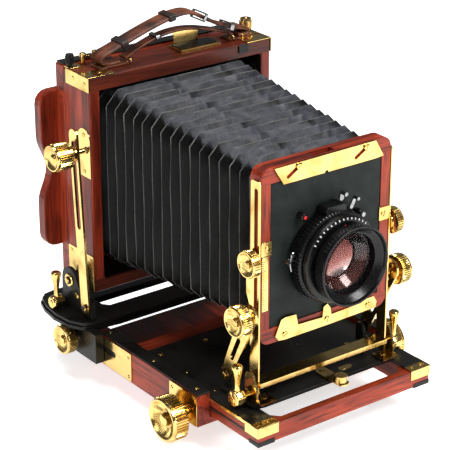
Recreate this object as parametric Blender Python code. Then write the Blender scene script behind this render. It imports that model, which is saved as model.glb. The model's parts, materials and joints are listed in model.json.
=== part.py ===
"""A 4x5 inch wooden folding view camera, opened for use, built as separate solids.

Units are metres. +Z is up, the lens looks along -Y and +X is the camera's left when
seen from the lens. The origin is on the underside of the tripod plate.
"""
import math

import bmesh
import bpy
from mathutils import Matrix, Vector

# ---- driving dimensions -------------------------------------------------------------
GAP = 0.0004                     # clearance between neighbouring solids

BED_HALF = 0.0885                # outer half width of the bed
BED_FRONT, BED_REAR = -0.0782, 0.0782
BED_LOW, BED_HIGH = 0.0155, 0.0392
RAIL_INNER = 0.0780              # inner face of a bed side rail
LIP_INNER = 0.0700               # inner face of the lip that carries the sliding frame
LIP_HIGH = 0.0203

SLIDE_HALF = 0.0774              # sliding focus frame
SLIDE_FRONT, SLIDE_REAR = -0.1318, 0.0222
SLIDE_LOW, SLIDE_HIGH = 0.0209, 0.0340
SLIDE_BAR = 0.0174               # width of its side bars

PINION_Y, PINION_Z = -0.0601, 0.0188
PINION_TEETH = 12
PINION_PITCH_RADIUS = 0.0045
RACK_X = (0.0622, 0.0678)

FRONT_Y = -0.1058                # front face of the wooden lens frame
LENS_Z = 0.1350                  # lens axis height
LENS_FRAME_HALF = 0.0562
LENS_FRAME_Z = (0.0790, 0.2070)
BOARD_HALF = 0.0478
BOARD_Z = (0.0910, 0.1955)

BASE_Z = (0.0364, 0.0390)        # the front base plate that carries the standard
U_INNER, U_OUTER = 0.0566, 0.0577   # side plates of the brass front standard
STUD_Y = FRONT_Y + 0.0032        # vertical slot and rise knob axis
RISE_Z = 0.1415
TILT_KNOB = (FRONT_Y + 0.0041, 0.1013)
TILT_PIVOT = (FRONT_Y + 0.0020, 0.0498)
FRONT_STRUT_PIVOT = (FRONT_Y + 0.0290, 0.0485)
FRONT_LEVER = (FRONT_Y + 0.0060, 0.0425)
FRONT_SWING = (0.0, FRONT_Y + 0.0120)

REAR_Y = (0.0602, 0.0942)        # wooden rear standard, front and back faces
REAR_Z = (0.0634, 0.2300)
REAR_HALF = 0.0813
REAR_WALL = 0.0092
REAR_PIVOT = (0.0822, 0.0686)
REAR_STRUT_PIVOT = (0.0572, 0.0560)
REAR_KNOB = {"left": (0.0652, 0.1753), "right": (0.0652, 0.1626)}
REAR_LEVER = (0.0866, 0.0520)
REAR_LOCK = (0.0682, 0.0296)
REAR_SWING = (0.0, 0.0822)
BRACKET_X = (0.0866, 0.0896)     # steel brackets that carry the rear standard

SLIDE_PLATE_Z = (0.0412, 0.0436)
SWING_PLATE_Z = (0.0440, 0.0464)

BACK_Y = (0.0946, 0.1062)        # reversible back
GLASS_FRAME_Y = (0.1068, 0.1152)
TOP_Z = REAR_Z[1]

STEPS = 32                       # sides of a turned piece


# ---- scene and material helpers -----------------------------------------------------
def clear_scene():
    for old in list(bpy.data.objects):
        bpy.data.objects.remove(old, do_unlink=True)


def material(name, color, metallic=0.0, roughness=0.5):
    mat = bpy.data.materials.get(name)
    if mat is None:
        mat = bpy.data.materials.new(name)
        mat.use_nodes = True
        shader = mat.node_tree.nodes["Principled BSDF"]
        shader.inputs["Base Color"].default_value = (*color, 1.0)
        shader.inputs["Metallic"].default_value = metallic
        shader.inputs["Roughness"].default_value = roughness
        mat.diffuse_color = (*color, 1.0)
    return mat


def wood():
    return material("lacquered_wood", (0.33, 0.045, 0.02), 0.0, 0.3)


def brass():
    return material("polished_brass", (0.87, 0.62, 0.22), 1.0, 0.22)


def black_metal():
    return material("black_metal", (0.012, 0.012, 0.011), 0.0, 0.38)


def black_fine():
    return material("shutter_black", (0.01, 0.01, 0.011), 0.0, 0.45)


def steel():
    return material("bright_steel", (0.72, 0.72, 0.7), 1.0, 0.25)


def glass():
    return material("lens_glass", (0.12, 0.04, 0.05), 0.0, 0.04)


def ground():
    return material("ground_glass", (0.75, 0.78, 0.77), 0.0, 0.6)


def leather():
    return material("handle_leather", (0.16, 0.045, 0.02), 0.0, 0.5)


def cloth():
    return material("bellows_leather", (0.02, 0.019, 0.017), 0.0, 0.6)


# ---- mesh helpers -------------------------------------------------------------------
def arc(cx, cy, radius, start, end, steps=8):
    """Points on an arc, with angles in degrees."""
    points = []
    for i in range(steps + 1):
        angle = math.radians(start + (end - start) * i / steps)
        points.append((cx + radius * math.cos(angle), cy + radius * math.sin(angle)))
    return points


def rounded(x0, x1, y0, y1, radius, steps=4):
    """A rectangle's outline with round corners."""
    return (arc(x1 - radius, y1 - radius, radius, 0, 90, steps)
            + arc(x0 + radius, y1 - radius, radius, 90, 180, steps)
            + arc(x0 + radius, y0 + radius, radius, 180, 270, steps)
            + arc(x1 - radius, y0 + radius, radius, 270, 360, steps))


def link(start, end, radius, end_radius=None, steps=8):
    """The outline of a bar with round ends between two centres."""
    if end_radius is None:
        end_radius = radius
    way = Vector(end) - Vector(start)
    angle = math.degrees(math.atan2(way.y, way.x))
    return (arc(start[0], start[1], radius, angle + 90, angle + 270, steps)
            + arc(end[0], end[1], end_radius, angle - 90, angle + 90, steps))


def along(start, end, distance):
    """The point at a distance from start towards end."""
    way = (Vector(end) - Vector(start)).normalized() * distance
    return (start[0] + way.x, start[1] + way.y)


def new_mesh(bm, name):
    bmesh.ops.recalc_face_normals(bm, faces=bm.faces[:])
    mesh = bpy.data.meshes.new(name)
    bm.to_mesh(mesh)
    bm.free()
    return mesh


def box(x, y, z):
    bm = bmesh.new()
    bmesh.ops.create_cube(bm, size=1.0)
    size = Vector((x[1] - x[0], y[1] - y[0], z[1] - z[0]))
    centre = Vector((x[0] + x[1], y[0] + y[1], z[0] + z[1])) / 2
    for vert in bm.verts:
        vert.co = Vector(a * b for a, b in zip(vert.co, size)) + centre
    return bm


def plate(outline, axis, low, high):
    """Extrudes an outline along X, Y or Z. The outline is in (y, z), (x, z) or (x, y)."""
    place = {"X": lambda u, v, w: (w, u, v),
             "Y": lambda u, v, w: (u, w, v),
             "Z": lambda u, v, w: (u, v, w)}[axis]
    bm = bmesh.new()
    face = bm.faces.new([bm.verts.new(place(u, v, low)) for u, v in outline])
    grown = bmesh.ops.extrude_face_region(bm, geom=[face])
    shift = Vector(place(0, 0, high)) - Vector(place(0, 0, low))
    moved = [v for v in grown["geom"] if isinstance(v, bmesh.types.BMVert)]
    bmesh.ops.translate(bm, vec=shift, verts=moved)
    return bm


def lathe(profile, centre, direction, steps=STEPS):
    """Turns a profile of (distance along direction, radius) pairs about an axis."""
    direction = Vector(direction)
    across = direction.orthogonal().normalized()
    third = direction.cross(across)
    rings = []
    bm = bmesh.new()
    for distance, radius in profile:
        middle = Vector(centre) + direction * distance
        if radius == 0:
            rings.append([bm.verts.new(middle)])
            continue
        ring = []
        for i in range(steps):
            angle = 2 * math.pi * i / steps
            ring.append(bm.verts.new(middle + radius * (math.cos(angle) * across
                                                        + math.sin(angle) * third)))
        rings.append(ring)
    for first, second in zip(rings, rings[1:]):
        for i in range(steps):
            j = (i + 1) % steps
            corners = [first[i % len(first)], first[j % len(first)],
                       second[j % len(second)], second[i % len(second)]]
            bm.faces.new(list(dict.fromkeys(corners)))
    for ring in (rings[0], rings[-1]):
        if len(ring) > 1:
            bm.faces.new(ring)
    return bm


def pin(centre, direction, length, radius, steps=16):
    return lathe([(0, radius), (length, radius)], centre, direction, steps)


def make(name, bm, mat, origin=(0, 0, 0), smooth=True):
    """Makes a node whose object origin stands on its joint's axis."""
    obj = bpy.data.objects.new(name, new_mesh(bm, name))
    obj.data.transform(Matrix.Translation(-Vector(origin)))
    obj.location = origin
    obj.data.materials.append(mat)
    bpy.context.scene.collection.objects.link(obj)
    if smooth:
        obj.data.shade_smooth()
        obj.data.set_sharp_from_angle(angle=math.radians(35))
    return obj


def boolean(obj, kind, shapes):
    for i, bm in enumerate(shapes):
        tool = bpy.data.objects.new(f"tool_{obj.name}_{kind}_{i}", new_mesh(bm, "tool"))
        tool.hide_render = True
        tool.display_type = "WIRE"
        bpy.context.scene.collection.objects.link(tool)
        modifier = obj.modifiers.new(f"{kind}_{i}", "BOOLEAN")
        modifier.operation = kind
        modifier.solver = "EXACT"
        modifier.object = tool
    return obj


def cut(obj, *shapes):
    return boolean(obj, "DIFFERENCE", shapes)


def fuse(obj, *shapes):
    return boolean(obj, "UNION", shapes)


def bevel(obj, width=0.0008):
    modifier = obj.modifiers.new("edge", "BEVEL")
    modifier.width = width
    modifier.segments = 1
    modifier.limit_method = "ANGLE"
    modifier.angle_limit = math.radians(50)
    return obj


def sided(side, low, high):
    """An X range on the left (-1) or right (+1) side of the camera."""
    return (low, high) if side > 0 else (-high, -low)


SIDES = (("left", -1), ("right", 1))


# ---- bed ------------------------------------------------------------------------------
def build_bed():
    for word, side in SIDES:
        rail_section = [(LIP_INNER, BED_LOW), (BED_HALF, BED_LOW), (BED_HALF, BED_HIGH),
                        (RAIL_INNER, BED_HIGH), (RAIL_INNER, LIP_HIGH), (LIP_INNER, LIP_HIGH)]
        section = [(side * x, z) for x, z in rail_section]
        rail = make(f"bed_{word}_rail", plate(section, "Y", BED_FRONT, BED_REAR), wood())
        bore = pin((side * 0.066, PINION_Y, PINION_Z), (side, 0, 0), 0.026, 0.0034)
        slot = plate(link((0.0260, REAR_LOCK[1]), (0.0692, REAR_LOCK[1]), 0.0031), "X",
                     *sided(side, RAIL_INNER - 0.002, BED_HALF + 0.002))
        cut(rail, bore, slot)
        bevel(rail)
        strip = make(f"bed_{word}_top_strip",
                     box(sided(side, RAIL_INNER - 0.0004, BED_HALF - 0.0002), (BED_FRONT - 0.0004, 0.0430),
                         (BED_HIGH + GAP, BED_HIGH + 0.0015)), black_metal())
        bevel(strip, 0.0003)
    board_x = (-LIP_INNER + GAP, LIP_INNER - GAP)
    board = make("bed_bottom_board", box(board_x, (-0.0450, BED_REAR), (BED_LOW, LIP_HIGH)), wood())
    bevel(board)
    base = make("tripod_plate", plate(rounded(-0.045, 0.045, -0.046, 0.056, 0.006), "Z",
                                      0.0, BED_LOW - GAP), black_metal())
    tripod_bore = pin((0, 0.022, -0.001), (0, 0, 1), 0.0125, 0.0048, 24)
    cut(base, tripod_bore)


# ---- focusing movement ------------------------------------------------------------------
def gear_outline(cy, cz, teeth, root, tip):
    points = []
    for i in range(teeth):
        for share, radius in ((-0.30, root), (-0.13, tip), (0.13, tip), (0.30, root)):
            angle = 2 * math.pi * (i + share) / teeth + math.pi / 2
            points.append((cy + radius * math.cos(angle), cz + radius * math.sin(angle)))
    return points


def build_pinion():
    origin = (0, PINION_Y, PINION_Z)
    reach = 0.0932
    shaft = make("pinion_shaft", pin((-reach, PINION_Y, PINION_Z), (1, 0, 0), 2 * reach, 0.0017),
                 brass(), origin)
    for _, side in SIDES:
        gear = plate(gear_outline(PINION_Y, PINION_Z, PINION_TEETH, 0.0036, 0.0049), "X",
                     *sided(side, RACK_X[0] + 0.0004, RACK_X[1] - 0.0004))
        fuse(shaft, gear)


def knob_profile(length, radius, collar, dish):
    """A clamping knob: a slim collar, a grip and a dished face with a centre cap."""
    return [(0, collar), (length * 0.16, collar), (length * 0.22, radius * 0.9),
            (length * 0.30, radius), (length * 0.92, radius), (length, radius * 0.94),
            (length, radius * 0.84), (length - dish, radius * 0.45),
            (length - dish, radius * 0.26), (length - dish * 0.3, radius * 0.22),
            (length - dish * 0.3, 0)]


def build_focus_knobs():
    for word, side in SIDES:
        inner = 0.0898
        centre = (side * inner, PINION_Y, PINION_Z)
        knob = make(f"focus_knob_{word}", lathe(knob_profile(0.0165, 0.0166, 0.0072, 0.0042),
                                                centre, (side, 0, 0), 48), brass(), centre)
        bore = pin((side * (inner - 0.001), PINION_Y, PINION_Z), (side, 0, 0), 0.0048, 0.0022)
        cut(knob, bore)


def build_slide_frame():
    frame = make("focus_frame", box((-SLIDE_HALF, SLIDE_HALF), (SLIDE_FRONT, SLIDE_REAR),
                                    (SLIDE_LOW, SLIDE_HIGH)), wood())
    inner = SLIDE_HALF - SLIDE_BAR
    window = plate([(-inner, -0.1175), (-inner + 0.007, -0.1253), (inner - 0.007, -0.1253),
                    (inner, -0.1175), (inner, 0.0062), (-inner, 0.0062)], "Z",
                   SLIDE_LOW - 0.002, SLIDE_HIGH + 0.002)
    grooves = [box(sided(side, RACK_X[0] - 0.0006, RACK_X[1] + 0.0006), (-0.1250, 0.0180),
                   (SLIDE_LOW - 0.001, 0.0272)) for _, side in SIDES]
    cut(frame, window, *grooves)
    bevel(frame)
    top = make("focus_top_plate", box((-0.0770, 0.0770), (-0.1246, 0.0056),
                                      (SLIDE_HIGH + GAP, SLIDE_HIGH + 0.0016)), black_metal())
    cut(top, box((-inner, inner), (-0.1300, -0.0860), (SLIDE_HIGH - 0.001, SLIDE_HIGH + 0.003)))
    pivot_bar = box((-inner - 0.002, inner + 0.002), (-0.1085, -0.0860),
                    (SLIDE_HIGH + GAP + 0.0002, BASE_Z[0] - GAP))
    fuse(top, pivot_bar)
    bevel(top, 0.0003)
    for word, side in SIDES:
        make(f"focus_rack_{word}", rack(side), brass())


def rack(side):
    """A toothed bar in the frame's underside, in step with the pinion."""
    pitch = 2 * math.pi * PINION_PITCH_RADIUS / PINION_TEETH
    tip = PINION_Z + 0.0040
    root = PINION_Z + 0.0053
    start, end = -0.1236, 0.0166
    outline = [(start, 0.0268), (start, root)]
    first = math.ceil((start + 0.001 - PINION_Y) / pitch)
    last = math.floor((end - 0.001 - PINION_Y) / pitch)
    for i in range(first, last):
        middle = PINION_Y + (i + 0.5) * pitch
        for share, height in ((-0.26, root), (-0.15, tip), (0.15, tip), (0.26, root)):
            outline.append((middle + share * pitch, height))
    outline += [(end, root), (end, 0.0268)]
    return plate(outline, "X", *sided(side, *RACK_X))


# ---- front base -----------------------------------------------------------------------------
def build_front_base():
    outline = ([(-0.0660, -0.0730), (-0.0660, -0.1050)]
               + arc(-0.0570, -0.1050, 0.0085, 180, 270, 4)
               + arc(0.0570, -0.1050, 0.0085, 270, 360, 4)
               + [(0.0660, -0.1050), (0.0660, -0.0730)])
    base = make("front_base_plate", plate(outline, "Z", *BASE_Z), black_metal(),
                (*FRONT_SWING, BASE_Z[0]))
    rear_window = box((-0.036, 0.036), (-0.0905, -0.0800), (0.030, 0.045))
    cut(base, rear_window)
    for _, side in SIDES:
        lug = plate([(FRONT_STRUT_PIVOT[0] - 0.0045, BASE_Z[1] - 0.001),
                     (FRONT_STRUT_PIVOT[0] + 0.0040, BASE_Z[1] - 0.001)]
                    + arc(*FRONT_STRUT_PIVOT, 0.0040, 0, 180, 6), "X", *sided(side, 0.0584, 0.0612))
        axle = pin((side * 0.0600, *FRONT_STRUT_PIVOT), (side, 0, 0), 0.0046, 0.0020)
        fuse(base, lug, axle)
    bevel(base, 0.0003)


def build_front_feet():
    low = BASE_Z[1] + GAP
    for word, side in SIDES:
        leaf = plate([(FRONT_Y - 0.0050, low), (FRONT_Y + 0.0085, low), (FRONT_Y + 0.0085, 0.0470)]
                     + arc(TILT_PIVOT[0] + 0.0015, 0.0560, 0.0048, 20, 160, 6)
                     + [(FRONT_Y - 0.0050, 0.0475)], "X", *sided(side, 0.0608, 0.0626))
        tab = box(sided(side, 0.0485, 0.0620), (FRONT_Y - 0.0095, FRONT_Y + 0.0030), (low, low + 0.0014))
        pivot = pin((side * 0.0566, *TILT_PIVOT), (side, 0, 0), 0.0050, 0.0019)
        axle = pin((side * 0.0615, *FRONT_LEVER), (side, 0, 0), 0.0108, 0.0019)
        foot = make(f"front_foot_{word}", leaf, brass(), (*FRONT_SWING, BASE_Z[0]))
        fuse(foot, tab, pivot, axle)


def build_swing_tongue():
    """The flat spring tongue at the front edge that frees the swing."""
    y0, y1 = -0.1270, -0.0960
    tongue = make("swing_tongue", plate(rounded(-0.0010, 0.0085, y0, y1, 0.0042), "Z",
                                        BASE_Z[1] + GAP, BASE_Z[1] + 0.0014), brass(),
                  (0.0037, y1 - 0.0045, BASE_Z[1] + GAP))
    grip = lathe([(0, 0.0046), (0.0052, 0.0046)], (0.0037, y0 + 0.0060, BASE_Z[1] + 0.0012),
                 (0, 0, 1), 24)
    fuse(tongue, grip)


# ---- front standard ----------------------------------------------------------------------------
def strut_slot(start, end, low, high, width, x):
    return plate(link(along(start, end, low), along(start, end, high), width / 2), "X", *x)


def build_front_standard():
    origin = (0, *TILT_PIVOT)
    y = FRONT_Y
    outline = [(y - 0.0004, 0.0430), (y + 0.0090, 0.0430), (y + 0.0090, 0.0860), (y + 0.0100, 0.1080),
               (y + 0.0134, 0.1160), (y + 0.0134, 0.1400), (y + 0.0090, 0.1450), (y + 0.0090, 0.1975),
               (y + 0.0078, 0.1990), (y + 0.0008, 0.1990), (y - 0.0004, 0.1975)]
    bar = box((-U_OUTER + 0.0005, U_OUTER - 0.0005), (y - 0.0024, y + 0.0086), (0.0486, 0.0520))
    sides = [plate(outline, "X", *sided(side, U_INNER, U_OUTER)) for _, side in SIDES]
    frame = make("front_u_frame", bar, brass(), origin)
    fuse(frame, *sides)
    shapes = []
    for _, side in SIDES:
        x = sided(side, U_INNER - 0.002, U_OUTER + 0.002)
        shapes.append(plate(link((STUD_Y, 0.1020), (STUD_Y, 0.1920), 0.0020), "X", *x))
        shapes.append(pin((side * 0.0550, *TILT_PIVOT), (side, 0, 0), 0.0060, 0.0023))
    cut(frame, *shapes)


def build_front_struts():
    length = (Vector(TILT_KNOB) - Vector(FRONT_STRUT_PIVOT)).length
    lobe = along(FRONT_STRUT_PIVOT, TILT_KNOB, length + 0.0030)
    for word, side in SIDES:
        x = sided(side, 0.0622, 0.0638)
        x_cut = sided(side, 0.0600, 0.0660)
        strut = make(f"front_strut_{word}", plate(link(FRONT_STRUT_PIVOT, lobe, 0.0048, 0.0078), "X", *x),
                     brass(), (side * 0.0634, *FRONT_STRUT_PIVOT))
        top_slot = strut_slot(FRONT_STRUT_PIVOT, TILT_KNOB, length - 0.0080, length + 0.0060, 0.0052, x_cut)
        low_slot = strut_slot(FRONT_STRUT_PIVOT, TILT_KNOB, 0.0180, 0.0360, 0.0040, x_cut)
        hole = pin((side * 0.0600, *FRONT_STRUT_PIVOT), (side, 0, 0), 0.0060, 0.0024)
        cut(strut, top_slot, low_slot, hole)


def clamp_knob(name, side, inner, axis, length, radius, dish, stud_to, stud_radius):
    """A hand knob with the stud that it clamps, as one turned piece."""
    stud = inner - stud_to
    centre = (side * stud_to, *axis)
    profile = [(0, stud_radius), (stud, stud_radius)]
    profile += [(stud + d, r) for d, r in knob_profile(length, radius, radius * 0.55, dish)]
    return make(name, lathe(profile, centre, (side, 0, 0)), brass(), (side * inner, *axis))


def lever(name, side, inner, axis, hub_length, hub_radius, height, origin_x):
    """A clamping lever: a hub on its axle and a tapered handle with a round end."""
    y, z = axis
    hub = lathe([(0, hub_radius * 0.9), (0.0006, hub_radius), (hub_length - 0.0008, hub_radius),
                 (hub_length, hub_radius * 0.86)], (side * inner, y, z), (side, 0, 0), 24)
    middle = side * (inner + hub_length * 0.5)
    handle = lathe([(0, 0.0021), (height * 0.30, 0.0020), (height * 0.86, 0.0040),
                    (height * 0.97, 0.0040), (height, 0.0030)], (middle, y, z + hub_radius * 0.6),
                   (0, 0, 1), 20)
    obj = make(name, hub, brass(), (side * origin_x, y, z))
    fuse(obj, handle)
    cut(obj, pin((side * (inner - 0.001), y, z), (side, 0, 0), hub_length - 0.0010, 0.0023))
    return obj


def build_front_controls():
    for word, side in SIDES:
        clamp_knob(f"tilt_knob_{word}", side, 0.0642, TILT_KNOB, 0.0115, 0.0112, 0.0026, 0.0602, 0.0020)
        clamp_knob(f"rise_knob_{word}", side, 0.0581, (STUD_Y, RISE_Z), 0.0082, 0.0098, 0.0024, 0.0566, 0.0016)
        lever(f"front_lever_{word}", side, 0.0668, FRONT_LEVER, 0.0080, 0.0062, 0.0205, 0.0668)


# ---- lens frame and lens ---------------------------------------------------------------------
def build_lens_frame():
    outline = rounded(-LENS_FRAME_HALF, LENS_FRAME_HALF, *LENS_FRAME_Z, 0.0075)
    frame = make("lens_frame", plate(outline, "Y", FRONT_Y, FRONT_Y + 0.0118), wood())
    recess = box((-BOARD_HALF - GAP, BOARD_HALF + GAP), (FRONT_Y - 0.002, FRONT_Y + 0.0042),
                 (BOARD_Z[0] - GAP, BOARD_Z[1] + GAP))
    opening = box((-0.0420, 0.0420), (FRONT_Y, FRONT_Y + 0.015), (0.0975, 0.1880))
    studs = [pin((side * 0.0560, STUD_Y, RISE_Z), (side, 0, 0), 0.002, 0.0024) for _, side in SIDES]
    notch = box((-0.0100, 0.0075), (FRONT_Y + 0.0020, FRONT_Y + 0.0085), (0.2030, 0.2100))
    cut(frame, recess, opening, notch, *studs)
    bevel(frame)
    board = make("lens_board", box((-BOARD_HALF, BOARD_HALF), (FRONT_Y + 0.0003, FRONT_Y + 0.0036),
                                   BOARD_Z), black_fine())
    cut(board, pin((0, FRONT_Y - 0.001, LENS_Z), (0, 1, 0), 0.006, 0.0208, 40))
    bevel(board, 0.0004)


CATCH_Y = (FRONT_Y - 0.0015, FRONT_Y - 0.0004)
CATCH_TILT = math.radians(31)


def build_catches():
    low, high = 0.1938, 0.2068
    outline = [(-0.0463, high - 0.0004), (-0.0385, low), (0.0415, low), (0.0484, low + 0.0006),
               (0.0412, high)]
    top = make("top_catch", plate(outline, "Y", *CATCH_Y), brass())
    slots = []
    for x in (-0.0297, 0.0287):
        reach = 0.0060
        start = (x - reach * math.cos(CATCH_TILT), 0.2015 - reach * math.sin(CATCH_TILT))
        end = (x + reach * math.cos(CATCH_TILT), 0.2015 + reach * math.sin(CATCH_TILT))
        slots.append(plate(link(start, end, 0.0014, steps=4), "Y", CATCH_Y[0] - 0.001, CATCH_Y[1] + 0.001))
    notch = pin((-0.002, CATCH_Y[0] - 0.001, low), (0, 1, 0), 0.003, 0.0016, 12)
    cut(top, *slots, notch)
    outline = [(-0.0440, 0.0838), (-0.0392, 0.0950), (-0.0359, 0.0961), (-0.0261, 0.0955),
               (-0.0244, 0.0874), (-0.0027, 0.0864), (-0.0018, 0.0941), (0.0015, 0.0957),
               (0.0043, 0.0920), (0.0054, 0.0865), (0.0325, 0.0873), (0.0340, 0.0892),
               (0.0440, 0.0893), (0.0468, 0.0846), (0.0460, 0.0803), (0.0042, 0.0795),
               (-0.0356, 0.0794), (-0.0411, 0.0801)]
    make("bottom_catch", plate(outline, "Y", *CATCH_Y), brass())


def tube_y(profile, y, steps=48):
    return lathe(profile, (0, y, LENS_Z), (0, -1, 0), steps)


def build_shutter():
    face = FRONT_Y + 0.0003 - GAP
    body = make("shutter_body", tube_y([(0, 0.0325), (0.0105, 0.0330), (0.0125, 0.0318), (0.0130, 0.0300)],
                                       face), black_fine())
    cut(body, pin((0, face + 0.001, LENS_Z), (0, -1, 0), 0.020, 0.0196, 40))
    fuse(body, box((-0.0080, 0.0080), (face - 0.0112, face - 0.0010), (LENS_Z + 0.030, LENS_Z + 0.0368)))
    ring = make("speed_ring", tube_y([(0, 0.0312), (0.0046, 0.0312), (0.0052, 0.0304)], face - 0.0134),
                black_fine(), (0, face, LENS_Z))
    cut(ring, pin((0, face, LENS_Z), (0, -1, 0), 0.030, 0.0238, 40))
    cell = make("front_lens_cell",
                tube_y([(0, 0.0190), (0.0130, 0.0190), (0.0130, 0.0232), (0.0192, 0.0232),
                        (0.0205, 0.0262), (0.0300, 0.0285), (0.0318, 0.0285), (0.0318, 0.0268),
                        (0.0270, 0.0240), (0.0252, 0.0198), (0.0252, 0.0)], face), black_fine())
    cut(cell, pin((0, face + 0.001, LENS_Z), (0, -1, 0), 0.021, 0.0165, 32))
    cut(cell, pin((0, face - 0.0238, LENS_Z), (0, -1, 0), 0.002, 0.0195, 40))
    dome = 0.0016
    make("front_element", tube_y([(0, 0), (0, 0.0190), (0.0006, 0.0190), (0.0006 + dome * 0.6, 0.0120),
                                  (0.0006 + dome, 0.0)], face - 0.0242, 40), glass())
    y_back = FRONT_Y + 0.0036 + GAP
    rear = make("rear_lens_cell", lathe([(0, 0.0225), (0.0022, 0.0225), (0.0022, 0.0186),
                                         (0.0180, 0.0186), (0.0190, 0.0178)],
                                        (0, y_back, LENS_Z), (0, 1, 0), 40), black_fine())
    cut(rear, pin((0, y_back - 0.001, LENS_Z), (0, 1, 0), 0.013, 0.0150, 32),
        pin((0, y_back + 0.0130, LENS_Z), (0, 1, 0), 0.010, 0.0166, 32))
    make("rear_element", lathe([(0, 0), (0, 0.0162), (0.0030, 0.0162), (0.0048, 0.0)],
                               (0, y_back + 0.0134, LENS_Z), (0, 1, 0), 32), glass())


def radial_lever(name, angle, inner, outer, y, mat, width=0.0022, knob=0.0):
    """A small shutter lever that points away from the lens axis."""
    c, s = math.cos(math.radians(angle)), math.sin(math.radians(angle))
    start = (inner * c, LENS_Z + inner * s)
    end = (outer * c, LENS_Z + outer * s)
    bar = plate(link(start, end, width, width * 0.8, 4), "Y", y - 0.0012, y)
    obj = make(name, bar, mat, (0, y, LENS_Z))
    if knob:
        fuse(obj, pin((end[0], y - 0.0006, end[1]), (0, -1, 0), knob, width * 0.8, 12))
    return obj


def build_shutter_levers():
    face = FRONT_Y - 0.0001
    radial_lever("cocking_lever", 79, 0.0402, 0.0440, face - 0.0052, steel(), 0.0018, 0.0045)
    radial_lever("release_lever", 62, 0.0352, 0.0420, face - 0.0052, steel(), 0.0015, 0.0040)
    radial_lever("aperture_lever", 172, 0.0352, 0.0402, face - 0.0052, steel(), 0.0018, 0.0040)


# ---- bellows --------------------------------------------------------------------------------
def loop(bm, y, half, low, high, corner):
    outline = [(half, low + corner), (half, high - corner), (half - corner, high),
               (-half + corner, high), (-half, high - corner), (-half, low + corner),
               (-half + corner, low), (half - corner, low)]
    return [bm.verts.new((x, y, z)) for x, z in outline]


def build_bellows():
    """A plain tapered tube with open ends: its folds are cloth."""
    front, back = FRONT_Y + 0.0124, 0.0780
    bm = bmesh.new()
    thick = 0.0025
    rings = [loop(bm, front, 0.0515, 0.0880, 0.2030, 0.008), loop(bm, back, 0.0670, 0.0790, 0.2180, 0.014),
             loop(bm, back, 0.0670 - thick, 0.0790 + thick, 0.2180 - thick, 0.013),
             loop(bm, front, 0.0515 - thick, 0.0880 + thick, 0.2030 - thick, 0.007)]
    for first, second in zip(rings, rings[1:] + rings[:1]):
        for i in range(len(first)):
            j = (i + 1) % len(first)
            bm.faces.new((first[i], first[j], second[j], second[i]))
    make("bellows", bm, cloth(), smooth=False)


# ---- rear ------------------------------------------------------------------------------------
def ear_outline(grow):
    left = [(-0.0700, 0.0446 - grow), (-0.0890, 0.0470 - grow), (-0.0990 - grow, 0.0530),
            (-0.1045 - grow, 0.0640), (-0.1060 - grow, 0.0800), (-0.1040 - grow, 0.0960),
            (-0.1000 - grow, 0.1080), (-0.0930, 0.1150 + grow), (-0.0850, 0.1165 + grow)]
    return left + [(-x, y) for x, y in reversed(left)]


def rear_window(z):
    return plate([(-0.0680, 0.0722), (-0.0640, 0.0672), (0.0640, 0.0672), (0.0680, 0.0722),
                  (0.0680, 0.0842), (-0.0680, 0.0842)], "Z", z[0] - 0.001, z[1] + 0.001)


def build_rear_plates():
    slide = make("rear_slide_plate", plate(ear_outline(0.0), "Z", *SLIDE_PLATE_Z), black_metal())
    cut(slide, rear_window(SLIDE_PLATE_Z))
    for _, side in SIDES:
        fuse(slide, box(sided(side, BED_HALF + 0.0012, 0.0968), (0.0372, 0.0790),
                        (0.0190, SLIDE_PLATE_Z[0] + 0.001)))
        cut(slide, pin((side * 0.0860, *REAR_LOCK), (side, 0, 0), 0.014, 0.0029))
    swing = make("rear_swing_plate", plate(ear_outline(-0.0015), "Z", *SWING_PLATE_Z), black_metal(),
                 (*REAR_SWING, SWING_PLATE_Z[0]))
    cut(swing, rear_window(SWING_PLATE_Z))
    for _, side in SIDES:
        y, z = REAR_PIVOT
        low = SWING_PLATE_Z[1] - 0.001
        outline = ([(0.0520, low), (0.0920, low), (0.0925, 0.0540)]
                   + arc(y, z, 0.0100, 0, 150, 8)
                   + [(0.0700, 0.0668), (0.0600, 0.0622), (0.0530, 0.0600)])
        x0, x1 = BRACKET_X
        fuse(swing, plate(outline, "X", *sided(side, x0, x1)),
             pin((side * 0.0775, y, z), (side, 0, 0), x1 - 0.0775 + 0.0020, 0.0030),
             pin((side * (x0 + 0.001), *REAR_STRUT_PIVOT), (side, 0, 0), 0.0068, 0.0020),
             pin((side * (x0 + 0.001), *REAR_LEVER), (side, 0, 0), 0.0134, 0.0019))


def build_rear_struts():
    foot = REAR_STRUT_PIVOT
    for word, side in SIDES:
        knob = REAR_KNOB[word]
        length = (Vector(knob) - Vector(foot)).length
        top = along(foot, knob, length + 0.0130)
        x = sided(side, 0.0906, 0.0924)
        strut = make(f"rear_strut_{word}", plate(link(foot, top, 0.0050), "X", *x), brass(),
                     (side * 0.0906, *foot))
        x_cut = sided(side, 0.0890, 0.0940)
        slot = strut_slot(foot, knob, 0.0640, length + 0.0070, 0.0052, x_cut)
        hole = pin((side * 0.0890, *foot), (side, 0, 0), 0.0050, 0.0024)
        cut(strut, slot, hole)


def build_rear_controls():
    for word, side in SIDES:
        clamp_knob(f"rear_tilt_knob_{word}", side, 0.0930, REAR_KNOB[word], 0.0185, 0.0102, 0.0020, 0.0830, 0.0020)
        clamp_knob(f"rear_lock_knob_{word}", side, 0.0972, REAR_LOCK, 0.0105, 0.0113, 0.0024, 0.0795, 0.0024)
        lever(f"rear_lever_{word}", side, 0.0935, REAR_LEVER, 0.0100, 0.0050, 0.0205, 0.0935)


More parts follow.
